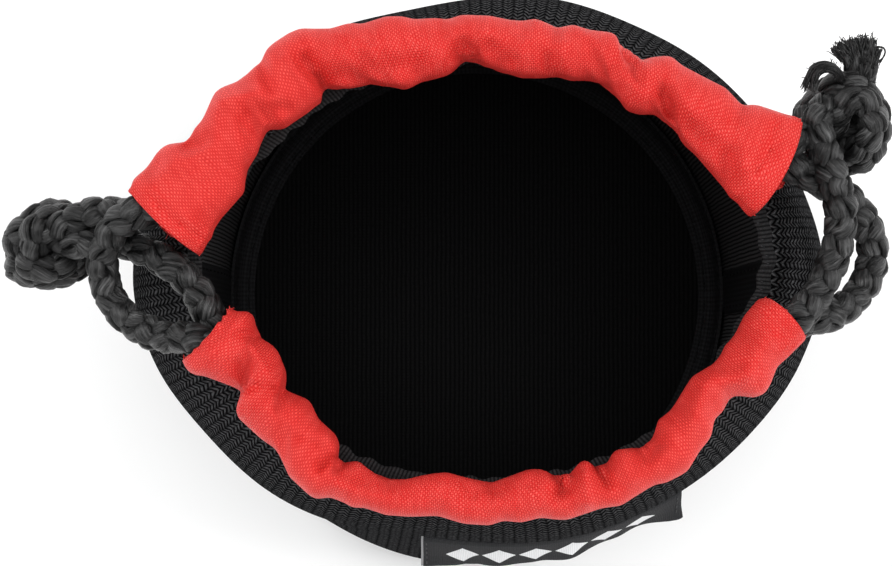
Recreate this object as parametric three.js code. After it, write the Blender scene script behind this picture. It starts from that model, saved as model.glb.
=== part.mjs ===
// Drawstring pouch: a stiff neoprene cup with a round base, two fabric channels on its
// rim and two braided cords that run through both channels and are knotted left and right.
// Millimetres, +Z up, origin at the centre of the base's underside. -Y is the labelled front.
import * as THREE from 'three';

// ---- driving dimensions -------------------------------------------------------------
const RIM_Z = 86;            // top edge of the neoprene wall
const BELLY_Z = 62;          // height where the wall is widest
const WALL = 3;              // neoprene thickness
const BASE_R = 40;           // outer radius at the foot of the wall
const FOOT_ROUND = 2;        // rounding of the outer bottom edge
const BASE_T = 3;            // thickness of the round base
const GAP = 0.3;             // clearance between touching pieces
const CHANNEL_Z = 90.5;      // mid height of the cord channels
const CHANNEL_HALF_H = 4.2;  // half their height
const CHANNEL_WALL = 0.5;    // fabric thickness of the channels
const CHANNEL_MIN_HALF_W = 2.6;
const CORD_D = 3.2;          // braided cord
const LOWER_CORD_Z = 88.7;   // inside a channel one cord lies on the other
const UPPER_CORD_Z = 92.3;

// inner edge of the mouth at RIM_Z, and outside of the wall at BELLY_Z: radius every 15 degrees from +X
const MOUTH_R = [34.2, 33.4, 30.8, 28.5, 26.6, 25.4, 25.0, 25.4, 26.4, 27.8, 29.5, 32.5,
  34.6, 30.6, 28.7, 28.2, 27.3, 26.2, 25.8, 26.2, 27.3, 28.7, 29.7, 31.5];
const BELLY_R = [45.3, 44.0, 42.0, 40.4, 38.6, 37.4, 36.3, 36.3, 37.8, 40.0, 41.5, 44.6,
  45.5, 44.2, 41.6, 39.6, 37.5, 35.6, 35.2, 36.0, 37.3, 38.9, 40.8, 43.4];

// channels, seen from above: the edge over the mouth and the edge over the wall, left end to right end
const BACK_IN = [[-35.0, 1.4], [-33.3, 4.7], [-31.1, 7.7], [-29.6, 10.9], [-28.2, 14.3], [-26.1, 17.1], [-22.9, 18.5],
  [-20.4, 21.1], [-17.2, 22.4], [-13.6, 22.7], [-9.9, 22.5], [-6.4, 23.3], [-3.1, 24.6], [0.2, 24.8], [3.7, 24.1],
  [7.3, 23.6], [11.0, 23.4], [14.6, 22.6], [17.3, 20.6], [20.4, 19.0], [23.6, 17.5], [25.9, 14.7], [28.3, 11.8],
  [30.6, 8.9], [33.1, 6.2]];
const BACK_OUT = [[-43.6, 9.4], [-41.5, 12.7], [-38.5, 15.1], [-35.5, 17.2], [-33.4, 20.5], [-30.5, 23.2], [-27.6, 25.8],
  [-24.6, 28.3], [-20.8, 29.4], [-16.9, 30.0], [-12.9, 30.5], [-8.9, 30.6], [-4.9, 30.5], [-1.0, 31.0], [3.0, 30.6],
  [6.9, 30.2], [10.8, 29.6], [14.7, 28.8], [17.6, 26.8], [21.1, 25.9], [24.8, 24.8], [28.3, 22.8], [31.7, 20.8],
  [35.5, 19.5], [39.2, 18.1]];
const FRONT_IN = [[-31.3, -5.3], [-28.4, -6.9], [-26.5, -9.7], [-24.8, -12.7], [-23.5, -15.6], [-20.8, -18.0],
  [-18.8, -21.0], [-16.8, -23.8], [-13.6, -25.2], [-10.1, -25.8], [-6.5, -25.8], [-2.9, -26.0], [0.7, -26.2],
  [4.2, -25.9], [7.7, -25.6], [11.2, -25.1], [14.5, -23.8], [17.9, -22.6], [20.9, -21.0], [23.1, -18.0], [25.3, -15.1],
  [27.8, -12.4], [30.3, -9.7], [32.3, -6.7], [34.9, -4.5]];
const FRONT_OUT = [[-37.1, -11.6], [-34.0, -13.7], [-31.2, -15.8], [-29.5, -18.5], [-27.0, -21.4], [-24.5, -24.4],
  [-22.2, -27.0], [-18.6, -28.7], [-14.7, -29.9], [-10.8, -30.8], [-6.8, -31.0], [-2.9, -31.4], [1.0, -31.7],
  [5.0, -31.2], [9.0, -31.0], [12.9, -30.2], [16.7, -29.1], [20.4, -27.5], [23.9, -25.7], [26.4, -22.8], [28.5, -19.3],
  [31.1, -16.9], [34.5, -15.1], [36.8, -12.1], [39.8, -9.5]];

// free stretches of cord, each from where it leaves one channel or knot to the next
const LEFT_TAIL_BACK = [[-39.6, 7.8, 88.8], [-41.0, 6.8, 88.8], [-44.2, 6.1, 87.5], [-47.0, 5.7, 85.5], [-49.6, 5.3, 83.8]];
const LEFT_TAIL_FRONT = [[-48.4, 2.9, 81.0], [-46.3, 3.1, 82.7], [-43.5, 2.6, 85.4], [-40.8, 1.4, 87.2], [-37.9, -0.5, 88.2],
  [-35.4, -3.2, 88.4], [-34.1, -5.6, 88.6], [-33.1, -7.7, 88.7], [-32.1, -9.2, 88.7]];
const RIGHT_CORD_LEFT_CROSSING = [[-39.6, 8.2, 92.2], [-41.3, 7.2, 92.1], [-44.3, 5.8, 91.3], [-46.3, 3.5, 89.8], [-47.3, 0.6, 88.0],
  [-46.9, -2.6, 86.8], [-45.2, -5.6, 86.6], [-42.3, -7.8, 87.7], [-38.9, -8.8, 89.7], [-35.9, -9.0, 91.4], [-33.0, -10.2, 92.2]];
const LEFT_CORD_RIGHT_CROSSING = [[36.6, 13.2, 88.7], [38.6, 12.4, 88.7], [41.0, 11.2, 87.9], [43.8, 9.8, 86.2], [46.5, 8.0, 84.6],
  [48.5, 5.2, 83.4], [49.2, 1.8, 82.9], [48.2, -1.7, 83.3], [45.9, -4.6, 84.5], [43.1, -6.1, 86.1], [40.4, -6.7, 87.6],
  [38.4, -7.2, 88.5], [36.9, -8.4, 88.6]];
const RIGHT_TAIL_BACK = [[36.0, 15.1, 92.2], [37.8, 15.0, 92.1], [40.4, 16.5, 91.0], [42.2, 18.3, 88.6]];
const RIGHT_TAIL_FRONT = [[43.5, 15.0, 88.1], [42.3, 13.3, 90.3], [42.4, 11.2, 91.0], [43.6, 9.0, 90.6], [44.4, 6.5, 89.7],
  [44.2, 3.3, 88.9], [43.2, 0.0, 88.8], [41.8, -2.8, 89.4], [40.0, -5.1, 90.6], [38.3, -6.8, 91.8], [36.7, -8.1, 92.2]];
const LEFT_KNOT = { at: [-54.7, 3.1, 81.0], r: [5.9, 5.7, 5.4] };
const RIGHT_KNOT = { at: [46.6, 17.4, 84.0], r: [5.3, 5.4, 5.2] };

// ---- materials ----------------------------------------------------------------------
const mat = (color, roughness) => new THREE.MeshStandardMaterial({ color, roughness, metalness: 0 });
const neoprene = () => mat(0x17181a, 0.9);
const tape = () => mat(0x101113, 0.85);
const redFabric = () => mat(0xe03336, 0.6);
const cordBlack = () => mat(0x1d1e20, 0.55);
const labelBlack = () => mat(0x0e0e10, 0.5);

// ---- helpers ------------------------------------------------------------------------
const pouch = new THREE.Group();
function put(name, geometry, material) {
  const mesh = new THREE.Mesh(geometry, material);
  mesh.name = name;
  pouch.add(mesh);
  return mesh;
}
const smooth = (t) => { const c = Math.min(1, Math.max(0, t)); return c * c * (3 - 2 * c); };
function ring(table, degrees) {           // periodic cubic through a table of radii
  const n = table.length, u = ((degrees % 360) + 360) % 360 / 360 * n;
  const i = Math.floor(u), f = u - i, p = (k) => table[(k + n) % n];
  const a = p(i - 1), b = p(i), c = p(i + 1), d = p(i + 2);
  return b + 0.5 * f * (c - a + f * (2 * a - 5 * b + 4 * c - d + f * (3 * (b - c) + d - a)));
}
function outerR(degrees, z) {             // outside of the wall
  const belly = ring(BELLY_R, degrees), rim = ring(MOUTH_R, degrees) + WALL;
  if (z >= BELLY_Z) return belly + (rim - belly) * Math.pow((z - BELLY_Z) / (RIM_Z - BELLY_Z), 2.2);
  const r = BASE_R + (belly - BASE_R) * smooth((z - 6) / (BELLY_Z - 6));
  const down = Math.max(0, FOOT_ROUND - z);
  return r - FOOT_ROUND + Math.sqrt(FOOT_ROUND * FOOT_ROUND - down * down);
}
// the inside stands clear of the round base and keeps the wall's thickness above it
const innerR = (degrees, z) => outerR(degrees, Math.max(z, FOOT_ROUND)) - WALL;
function indexed(points, faces) {           // a closed mesh whose faces are turned outwards
  let volume = 0;
  for (let i = 0; i < faces.length; i += 3) {
    const [a, b, c] = [points[faces[i]], points[faces[i + 1]], points[faces[i + 2]]];
    volume += a[0] * (b[1] * c[2] - b[2] * c[1]) - a[1] * (b[0] * c[2] - b[2] * c[0]) + a[2] * (b[0] * c[1] - b[1] * c[0]);
  }
  if (volume < 0) faces.reverse();
  const g = new THREE.BufferGeometry();
  g.setAttribute('position', new THREE.Float32BufferAttribute(points.flat(), 3));
  g.setIndex(faces);
  g.computeVertexNormals();
  return g;
}
// a strip's section swept through stations: each station runs up one side and back down the other
function loft(stations) {
  const n = stations.length, m = stations[0].length, points = stations.flat(), faces = [];
  const quad = (p, q, r, s) => faces.push(p, q, r, p, r, s);
  for (let i = 0; i < n - 1; i++) {
    for (let k = 0; k < m; k++) {
      const l = (k + 1) % m;
      quad(i * m + k, (i + 1) * m + k, (i + 1) * m + l, i * m + l);
    }
  }
  const last = (n - 1) * m;
  for (let k = 0; k < m / 2 - 1; k++) {
    quad(k, k + 1, m - 2 - k, m - 1 - k);
    quad(last + k, last + m - 1 - k, last + m - 2 - k, last + k + 1);
  }
  return indexed(points, faces);
}

// ---- neoprene cup -------------------------------------------------------------------
const LEVELS = [0, 0.8, FOOT_ROUND, 12, 24, 37, 50, BELLY_Z, 69, 75, 80, 83.5, RIM_Z];
// a half of the wall from one side seam to the other; each station is its own closed section
function panel(from, to) {
  const steps = 24, stations = [];
  for (let i = 0; i <= steps; i++) {
    const degrees = from + (to - from) * i / steps;
    const place = (r, z) => {
      const a = degrees * Math.PI / 180;
      let x = r * Math.cos(a), y = r * Math.sin(a);
      if (i === 0 || i === steps) y = Math.sign(Math.sin((from + to) / 2 * Math.PI / 180)) * GAP / 2;
      return [x, y, z];
    };
    const up = LEVELS.map((z) => place(outerR(degrees, z), z));
    const down = [...LEVELS].reverse().map((z) => place(innerR(degrees, z), z));
    stations.push([...up, ...down]);
  }
  return loft(stations);
}
put('front_panel', panel(180, 360), neoprene());
put('back_panel', panel(0, 180), neoprene());

const BASE_DISC_R = BASE_R - WALL - GAP;
put('base_disc', new THREE.LatheGeometry([[0, 0], [BASE_DISC_R, 0], [BASE_DISC_R, BASE_T], [0, BASE_T]]
  .map((p) => new THREE.Vector2(...p)), 48).rotateX(Math.PI / 2), neoprene());

// bound seam allowance that stands inside the foot of the wall
const BIND_OUT = BASE_DISC_R - 0.1, BIND_IN = BIND_OUT - 3.6, BIND_LOW = BASE_T + GAP, BIND_TOP = BIND_LOW + 4.6;
put('base_seam_binding', new THREE.LatheGeometry([[BIND_IN, BIND_LOW], [BIND_OUT, BIND_LOW], [BIND_OUT, BIND_TOP - 0.9],
  [BIND_OUT - 0.9, BIND_TOP], [BIND_IN + 0.9, BIND_TOP], [BIND_IN, BIND_TOP - 0.9], [BIND_IN, BIND_LOW]]
  .map((p) => new THREE.Vector2(...p)), 40).rotateX(Math.PI / 2), tape());

// tapes over the side seams, on the inside of the wall
function seamTape(middle) {
  const halfAngle = 5, levels = [9.5, 20, 32, 44, 54, 62, 69, 75, 80];
  return loft(levels.map((z) => {
    const section = [];
    for (const k of [-1, 0, 1]) section.push([middle + k * halfAngle, 0.45]);
    for (const k of [1, 0, -1]) section.push([middle + k * halfAngle, 1.2]);
    return section.map(([degrees, inset]) => {
      const a = degrees * Math.PI / 180, r = innerR(degrees, z) - inset;
      return [r * Math.cos(a), r * Math.sin(a), z];
    });
  }));
}
put('left_seam_tape', seamTape(180), tape());
put('right_seam_tape', seamTape(0), tape());

// woven label on the front: its lower edge stands off the wall
function labelSlab() {
  const levels = [[58.5, 0.35], [54, 0.7], [49, 1.5], [44.5, 2.6]], T = 0.7, stations = [];
  for (let i = 0; i <= 14; i++) {
    const degrees = 257.6 + (311.5 - 257.6) * i / 14, a = degrees * Math.PI / 180;
    const at = (z, off) => { const r = outerR(degrees, z) + off; return [r * Math.cos(a), r * Math.sin(a), z]; };
    stations.push([...levels.map(([z, off]) => at(z, off)), ...[...levels].reverse().map(([z, off]) => at(z, off + T))]);
  }
  return loft(stations);
}
put('label', labelSlab(), labelBlack());

// ---- channels -----------------------------------------------------------------------
// a flattened tube, open at both ends, lying on the rim
function channelSections(inner, outer) {
  return inner.map((p, i) => {
    const q = outer[i], w = Math.hypot(q[0] - p[0], q[1] - p[1]);
    return { mid: [(p[0] + q[0]) / 2, (p[1] + q[1]) / 2], dir: [(q[0] - p[0]) / w, (q[1] - p[1]) / w], half: Math.max(w / 2, CHANNEL_MIN_HALF_W) };
  });
}
function channel(inner, outer) {
  const sections = channelSections(inner, outer), K = 14, e = 2 / 2.8;
  const loop = (s, inset) => Array.from({ length: K }, (_, k) => {
    const a = (k + 0.5) / K * 2 * Math.PI, c = Math.cos(a), d = Math.sin(a);
    const u = Math.sign(c) * Math.pow(Math.abs(c), e) * (s.half - inset);
    const z = CHANNEL_Z + Math.sign(d) * Math.pow(Math.abs(d), e) * (CHANNEL_HALF_H - inset);
    return [s.mid[0] + u * s.dir[0], s.mid[1] + u * s.dir[1], z];
  });
  const skin = sections.map((s) => loop(s, 0)), bore = sections.map((s) => loop(s, CHANNEL_WALL));
  const n = sections.length, points = [...skin.flat(), ...bore.flat()], faces = [], B = n * K;
  const quad = (a, b, c, d) => faces.push(a, b, c, a, c, d);
  for (let i = 0; i < n - 1; i++) {
    for (let k = 0; k < K; k++) {
      const l = (k + 1) % K, a = i * K + k, b = (i + 1) * K + k, c = (i + 1) * K + l, d = i * K + l;
      quad(a, b, c, d);
      quad(B + a, B + d, B + c, B + b);
    }
  }
  for (let k = 0; k < K; k++) {
    const l = (k + 1) % K, z = (n - 1) * K;
    quad(k, l, B + l, B + k);
    quad(z + k, B + z + k, B + z + l, z + l);
  }
  return indexed(points, faces);
}
put('back_channel', channel(BACK_IN, BACK_OUT), redFabric());
put('front_channel', channel(FRONT_IN, FRONT_OUT), redFabric());

// ---- cords --------------------------------------------------------------------------
const cordSection = new THREE.Shape(Array.from({ length: 8 }, (_, k) => {
  const a = (k + 0.5) / 8 * 2 * Math.PI;
  return new THREE.Vector2(CORD_D / 2 * Math.cos(a), CORD_D / 2 * Math.sin(a));
}));
function cord(points, steps) {
  const path = new THREE.CatmullRomCurve3(points.map((p) => new THREE.Vector3(...p)), false, 'centripetal');
  return new THREE.ExtrudeGeometry(cordSection, { extrudePath: path, steps, bevelEnabled: false });
}
// inside a channel: along its middle, then out at the given end points
function run(inner, outer, z, first, last) {
  const mids = channelSections(inner, outer).slice(2, -2).map((s) => [...s.mid, z]);
  return cord([[...first, z], ...mids, [...last, z]], 34);
}
put('left_cord_back_run', run(BACK_IN, BACK_OUT, LOWER_CORD_Z, [-39.4, 8.1], [36.3, 13.3]), cordBlack());
put('right_cord_back_run', run(BACK_IN, BACK_OUT, UPPER_CORD_Z, [-39.3, 8.4], [35.6, 15.1]), cordBlack());
put('left_cord_front_run', run(FRONT_IN, FRONT_OUT, LOWER_CORD_Z, [-31.9, -9.5], [36.6, -8.8]), cordBlack());
put('right_cord_front_run', run(FRONT_IN, FRONT_OUT, UPPER_CORD_Z, [-32.6, -10.4], [36.4, -8.3]), cordBlack());

put('left_cord_back_tail', cord(LEFT_TAIL_BACK, 7), cordBlack());
put('left_cord_front_tail', cord(LEFT_TAIL_FRONT, 12), cordBlack());
put('right_cord_crossing', cord(RIGHT_CORD_LEFT_CROSSING, 18), cordBlack());
put('left_cord_crossing', cord(LEFT_CORD_RIGHT_CROSSING, 20), cordBlack());
put('right_cord_back_tail', cord(RIGHT_TAIL_BACK, 6), cordBlack());
put('right_cord_front_tail', cord(RIGHT_TAIL_FRONT, 18), cordBlack());

// knots: lumps of the outer shape of an overhand knot tied in both ends together
function knot({ at, r }, phase) {
  const g = new THREE.SphereGeometry(1, 18, 12), p = g.attributes.position, v = new THREE.Vector3();
  for (let i = 0; i < p.count; i++) {
    v.fromBufferAttribute(p, i).normalize();
    const lump = 1 - 0.05 * (1 + Math.cos(3 * Math.atan2(v.y, v.x) + phase)) * (1 - v.z * v.z);
    p.setXYZ(i, at[0] + v.x * r[0] * lump, at[1] + v.y * r[1] * lump, at[2] + v.z * r[2] * lump);
  }
  return g;
}
put('left_knot', knot(LEFT_KNOT, 1.0), cordBlack());
put('right_knot', knot(RIGHT_KNOT, 2.2), cordBlack());

// cut cord ends beyond the knots, opened out where they fray
function cordEnd(at, direction, length, tipR) {
  const R = CORD_D / 2, g = new THREE.LatheGeometry([[0, 0], [R * 0.8, 0], [R, length * 0.35], [tipR, length * 0.8], [tipR * 0.8, length], [0, length]]
    .map((p) => new THREE.Vector2(...p)), 10);
  const q = new THREE.Quaternion().setFromUnitVectors(new THREE.Vector3(0, 1, 0), new THREE.Vector3(...direction).normalize());
  return g.applyQuaternion(q).translate(...at);
}
put('left_cord_end_a', cordEnd([-57.0, 0.9, 75.3], [-0.25, -0.3, -1], 4.2, 1.9), cordBlack());
put('left_cord_end_b', cordEnd([-53.2, 5.0, 75.5], [0.15, 0.35, -1], 4.2, 1.9), cordBlack());
put('right_cord_end_a', cordEnd([47.3, 23.2, 85.2], [-0.06, 1, 0.35], 6.2, 2.9), cordBlack());
put('right_cord_end_b', cordEnd([43.3, 22.3, 85.9], [-0.9, 0.15, 0.35], 4.0, 2.0), cordBlack());

export default pouch;
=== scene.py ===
"""Drawstring pouch: stiff neoprene cup, red fabric channels round its mouth, two knotted braided cords.
Millimetres in the numbers below, metres in the scene. +Z up, -Y the labelled front."""
import math
import bpy
import numpy as np
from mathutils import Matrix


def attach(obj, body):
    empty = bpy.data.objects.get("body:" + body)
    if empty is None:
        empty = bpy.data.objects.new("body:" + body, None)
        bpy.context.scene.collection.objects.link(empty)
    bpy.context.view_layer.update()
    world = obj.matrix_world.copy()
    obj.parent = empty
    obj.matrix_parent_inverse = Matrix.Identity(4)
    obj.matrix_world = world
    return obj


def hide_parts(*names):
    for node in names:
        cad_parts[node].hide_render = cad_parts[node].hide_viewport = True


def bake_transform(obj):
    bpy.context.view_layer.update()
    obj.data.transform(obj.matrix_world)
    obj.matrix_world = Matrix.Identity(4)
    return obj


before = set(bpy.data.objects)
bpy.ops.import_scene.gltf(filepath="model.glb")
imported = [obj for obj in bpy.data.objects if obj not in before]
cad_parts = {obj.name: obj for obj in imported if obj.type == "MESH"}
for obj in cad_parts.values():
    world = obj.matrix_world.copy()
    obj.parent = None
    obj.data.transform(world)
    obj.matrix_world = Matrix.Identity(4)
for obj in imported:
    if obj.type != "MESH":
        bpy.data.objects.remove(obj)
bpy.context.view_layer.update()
MM = 0.001
rng = np.random.default_rng(7)

# ---- camera: almost straight down into the mouth ------------------------------------------
camera_data = bpy.data.cameras.new("camera")
camera = bpy.data.objects.new("camera", camera_data)
bpy.context.scene.collection.objects.link(camera)
camera.location = (-4.5625 * MM, -20.2558 * MM, 505.5157 * MM)
camera.rotation_euler = (math.radians(2.5), 0, 0)
camera_data.sensor_fit = "HORIZONTAL"
camera_data.sensor_width = 36
camera_data.lens = 36 * 3360 / 892
camera_data.clip_start = 0.01
camera_data.clip_end = 20
bpy.context.scene.camera = camera

# ---- the construction's numbers ------------------------------------------------------------
RIM_Z, BELLY_Z, WALL, BASE_R, FOOT_ROUND, BASE_T = 86.0, 62.0, 3.0, 40.0, 2.0, 3.0
CHANNEL_Z, CHANNEL_HALF_H = 90.5, 4.2
LOWER, UPPER = 88.7, 92.3
MOUTH_R = [34.2, 33.4, 30.8, 28.5, 26.6, 25.4, 25.0, 25.4, 26.4, 27.8, 29.5, 32.5,
           34.6, 30.6, 28.7, 28.2, 27.3, 26.2, 25.8, 26.2, 27.3, 28.7, 29.7, 31.5]
BELLY_R = [45.3, 44.0, 42.0, 40.4, 38.6, 37.4, 36.3, 36.3, 37.8, 40.0, 41.5, 44.6,
           45.5, 44.2, 41.6, 39.6, 37.5, 35.6, 35.2, 36.0, 37.3, 38.9, 40.8, 43.4]
GIRTH = 255.0
BACK_IN = [(-35.0, 1.4), (-34.2, 3.2), (-33.5, 4.5), (-31.8, 6.8), (-30.1, 8.9), (-29.6, 10.7), (-29.4, 12.4),
           (-28.1, 14.4), (-27.1, 16.8), (-25.8, 17.5), (-23.8, 17.8), (-22.3, 18.7), (-21.2, 20.1), (-20.0, 21.9),
           (-18.8, 22.4), (-16.5, 22.4), (-14.0, 22.9), (-11.5, 22.6), (-9.0, 22.2), (-6.5, 23.2), (-4.1, 24.2),
           (-2.8, 25.3), (-1.6, 25.8), (-0.3, 25.5), (0.9, 24.8), (3.4, 24.1), (5.9, 23.5), (8.3, 23.7), (10.8, 23.4),
           (13.3, 23.4), (15.2, 22.9), (16.4, 21.6), (18.0, 19.6), (19.5, 19.0), (21.4, 19.1), (23.2, 18.0),
           (24.7, 16.4), (25.9, 14.6), (28.2, 12.0), (30.3, 9.4), (32.2, 6.9), (33.1, 6.2)]
BACK_OUT = [(-43.6, 9.4), (-43.0, 11.2), (-41.8, 12.4), (-40.3, 14.4), (-38.5, 15.3), (-36.3, 15.6), (-35.1, 17.6),
            (-34.1, 19.6), (-32.6, 21.9), (-30.7, 23.1), (-28.9, 24.0), (-27.9, 25.3), (-26.9, 26.7), (-25.2, 28.3),
            (-23.9, 28.8), (-21.5, 29.5), (-19.0, 29.5), (-16.5, 30.1), (-14.0, 30.3), (-11.5, 30.8), (-9.0, 30.6),
            (-6.5, 30.3), (-4.1, 30.6), (-1.6, 31.1), (0.9, 31.0), (3.4, 30.3), (5.9, 30.6), (8.4, 29.7), (10.8, 29.8),
            (13.3, 29.2), (15.4, 28.8), (16.7, 27.6), (17.3, 26.0), (19.5, 25.7), (21.4, 26.0), (23.2, 26.0),
            (25.7, 24.2), (28.2, 23.0), (30.7, 21.1), (33.2, 20.1), (35.6, 19.6), (38.1, 18.7), (39.2, 18.1)]
FRONT_IN = [(-31.3, -5.3), (-29.4, -5.5), (-28.4, -6.2), (-28.1, -7.4), (-27.7, -8.9), (-26.6, -9.5), (-25.6, -10.4),
            (-24.8, -11.9), (-24.6, -13.3), (-24.7, -15.1), (-23.6, -15.7), (-22.0, -16.6), (-21.1, -17.6),
            (-19.9, -19.1), (-19.0, -20.3), (-18.2, -22.1), (-17.7, -23.5), (-16.4, -24.2), (-13.9, -25.4),
            (-11.5, -26.5), (-9.0, -26.2), (-6.5, -25.7), (-4.1, -25.6), (-1.6, -26.3), (0.9, -26.7), (3.3, -26.0),
            (5.8, -25.1), (8.3, -25.8), (10.7, -25.6), (12.0, -24.7), (13.2, -24.2), (15.1, -23.7), (16.1, -23.0),
            (18.2, -22.5), (20.4, -22.0), (21.5, -20.3), (22.4, -19.1), (23.2, -17.8), (25.0, -15.4), (26.2, -14.1),
            (27.3, -12.9), (28.7, -11.4), (29.8, -10.4), (30.8, -9.2), (31.6, -7.9), (32.3, -6.7), (33.1, -5.5),
            (33.9, -4.6), (34.9, -4.5)]
FRONT_OUT = [(-37.1, -11.6), (-36.5, -12.8), (-35.5, -13.3), (-33.7, -13.7), (-31.9, -14.5), (-29.7, -15.4),
             (-30.3, -16.8), (-30.0, -18.1), (-28.8, -19.9), (-27.3, -21.3), (-25.2, -22.6), (-24.4, -24.4),
             (-23.8, -26.0), (-22.6, -27.4), (-21.6, -28.3), (-18.9, -28.4), (-16.4, -29.4), (-13.9, -29.9),
             (-11.5, -30.5), (-9.0, -30.8), (-6.5, -30.6), (-4.1, -31.1), (-1.6, -31.8), (0.9, -31.9), (3.3, -31.3),
             (5.8, -31.1), (8.3, -31.0), (10.7, -31.0), (13.2, -30.0), (15.7, -29.5), (18.2, -28.7), (19.8, -27.8),
             (20.6, -27.2), (23.1, -26.3), (24.8, -25.4), (25.8, -23.7), (26.7, -22.5), (27.9, -20.2), (29.4, -17.8),
             (30.5, -16.3), (33.0, -16.1), (34.9, -15.4), (35.5, -13.9), (36.2, -12.4), (38.0, -10.7), (39.8, -9.5)]

# the same four edges with their small notches and bumps
BACK_IN_FINE = [(-35.3, 1.3), (-34.8, 1.6), (-34.1, 3.0), (-33.6, 3.5), (-33.4, 4.5), (-32.5, 5.9), (-29.6, 9.1),
                (-29.5, 11.4), (-28.1, 13.8), (-27.5, 15.8), (-27.2, 16.4), (-26.4, 17.0), (-24.6, 17.1),
                (-21.6, 19.1), (-20.0, 20.6), (-19.9, 21.7), (-19.6, 22.1), (-19.0, 22.2), (-16.4, 22.1),
                (-13.7, 22.7), (-12.8, 22.7), (-9.7, 21.9), (-8.8, 22.2), (-7.6, 22.9), (-6.2, 23.2), (-4.5, 23.7),
                (-3.9, 24.1), (-2.6, 25.3), (-2.0, 25.6), (-0.7, 25.6), (0.8, 24.7), (5.0, 23.4), (7.0, 23.4),
                (9.5, 23.6), (11.0, 23.1), (13.4, 23.2), (15.6, 22.3), (16.3, 21.6), (17.6, 19.8), (18.2, 19.2),
                (19.5, 18.8), (21.3, 18.9), (23.2, 17.8), (24.6, 15.9), (30.0, 9.6), (30.5, 8.6), (31.4, 8.0),
                (32.8, 6.2), (33.2, 6.2)]
BACK_OUT_FINE = [(-43.4, 9.3), (-43.1, 10.6), (-41.4, 12.2), (-40.2, 13.9), (-39.6, 14.5), (-38.8, 15.0),
                 (-36.6, 15.3), (-36.0, 15.7), (-35.4, 16.8), (-34.5, 18.0), (-33.4, 20.5), (-32.9, 21.4),
                 (-32.0, 22.0), (-30.4, 22.6), (-28.9, 23.6), (-27.3, 25.2), (-26.7, 26.6), (-25.8, 27.4),
                 (-24.0, 28.6), (-22.6, 29.2), (-19.0, 29.1), (-16.7, 29.8), (-15.0, 29.7), (-12.1, 30.6),
                 (-10.2, 30.6), (-8.6, 30.2), (-5.9, 30.3), (-4.4, 30.2), (-2.8, 30.8), (-1.8, 30.8), (0.7, 30.7),
                 (3.3, 30.1), (4.8, 30.1), (6.4, 30.3), (9.1, 29.2), (11.0, 29.6), (12.9, 29.0), (15.5, 28.7),
                 (16.2, 28.4), (16.4, 28.2), (16.7, 27.2), (16.7, 26.4), (17.1, 25.9), (19.4, 25.2), (20.4, 25.6),
                 (22.3, 25.8), (23.2, 25.7), (24.3, 24.7), (29.5, 22.0), (31.2, 20.3), (31.8, 19.9), (32.3, 19.8),
                 (33.4, 19.9), (34.3, 19.7), (37.3, 18.7), (38.5, 18.4), (38.9, 18.1)]
FRONT_IN_FINE = [(-30.9, -5.6), (-30.2, -5.8), (-29.3, -5.7), (-28.6, -6.0), (-28.4, -6.4), (-28.2, -7.6),
                 (-27.7, -8.9), (-26.4, -9.7), (-25.6, -10.4), (-25.2, -11.1), (-24.6, -12.8), (-24.7, -15.2),
                 (-24.1, -15.6), (-21.7, -16.6), (-21.3, -17.1), (-20.5, -18.9), (-18.6, -20.6), (-17.8, -22.1),
                 (-17.8, -22.8), (-18.2, -23.9), (-17.9, -24.4), (-17.5, -24.5), (-16.0, -24.2), (-15.5, -24.2),
                 (-13.3, -25.8), (-11.5, -26.5), (-9.6, -26.5), (-6.4, -25.8), (-4.5, -25.6), (-1.2, -26.5),
                 (1.2, -26.9), (5.4, -25.3), (6.5, -25.2), (7.5, -25.3), (9.1, -26.3), (9.8, -26.5), (10.5, -26.1),
                 (11.7, -24.7), (12.2, -24.2), (12.5, -24.1), (13.1, -24.2), (14.0, -25.3), (14.5, -25.4),
                 (15.4, -24.5), (16.0, -23.3), (16.5, -22.8), (18.6, -22.6), (19.6, -22.7), (20.2, -22.4),
                 (21.2, -21.3), (21.4, -20.2), (21.8, -19.1), (23.3, -17.9), (23.9, -17.1), (25.9, -13.8),
                 (26.5, -13.4), (28.6, -12.2), (29.4, -11.2), (30.1, -9.8), (30.6, -9.4), (31.3, -8.4), (32.3, -6.3),
                 (34.0, -4.3), (34.3, -4.2), (34.8, -4.3)]
FRONT_OUT_FINE = [(-36.9, -11.9), (-36.8, -12.3), (-36.2, -13.0), (-35.4, -13.4), (-34.4, -13.5), (-32.0, -14.4),
                  (-30.6, -15.0), (-29.8, -15.4), (-29.6, -15.9), (-30.3, -17.6), (-30.3, -18.1), (-30.0, -18.8),
                  (-27.0, -21.5), (-25.2, -22.7), (-24.6, -23.7), (-23.8, -25.9), (-21.1, -28.4), (-20.3, -28.7),
                  (-19.3, -28.5), (-18.6, -28.5), (-17.0, -29.1), (-16.0, -29.7), (-14.7, -29.7), (-11.9, -30.6),
                  (-9.1, -30.8), (-5.5, -30.7), (-2.3, -31.7), (0.8, -31.9), (2.5, -31.3), (4.7, -31.5),
                  (7.1, -30.9), (9.2, -31.2), (10.4, -31.2), (14.4, -29.8), (16.9, -29.5), (20.3, -27.3),
                  (21.1, -26.9), (22.4, -26.7), (24.4, -25.7), (25.1, -25.2), (26.5, -22.8), (27.4, -21.7),
                  (27.8, -21.0), (28.2, -19.0), (29.3, -18.0), (30.3, -16.3), (31.1, -16.0), (32.2, -16.1),
                  (33.2, -16.3), (34.5, -15.8), (35.2, -14.7), (35.9, -12.6), (39.4, -9.4), (39.6, -9.0),
                  (39.6, -8.6)]

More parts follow.
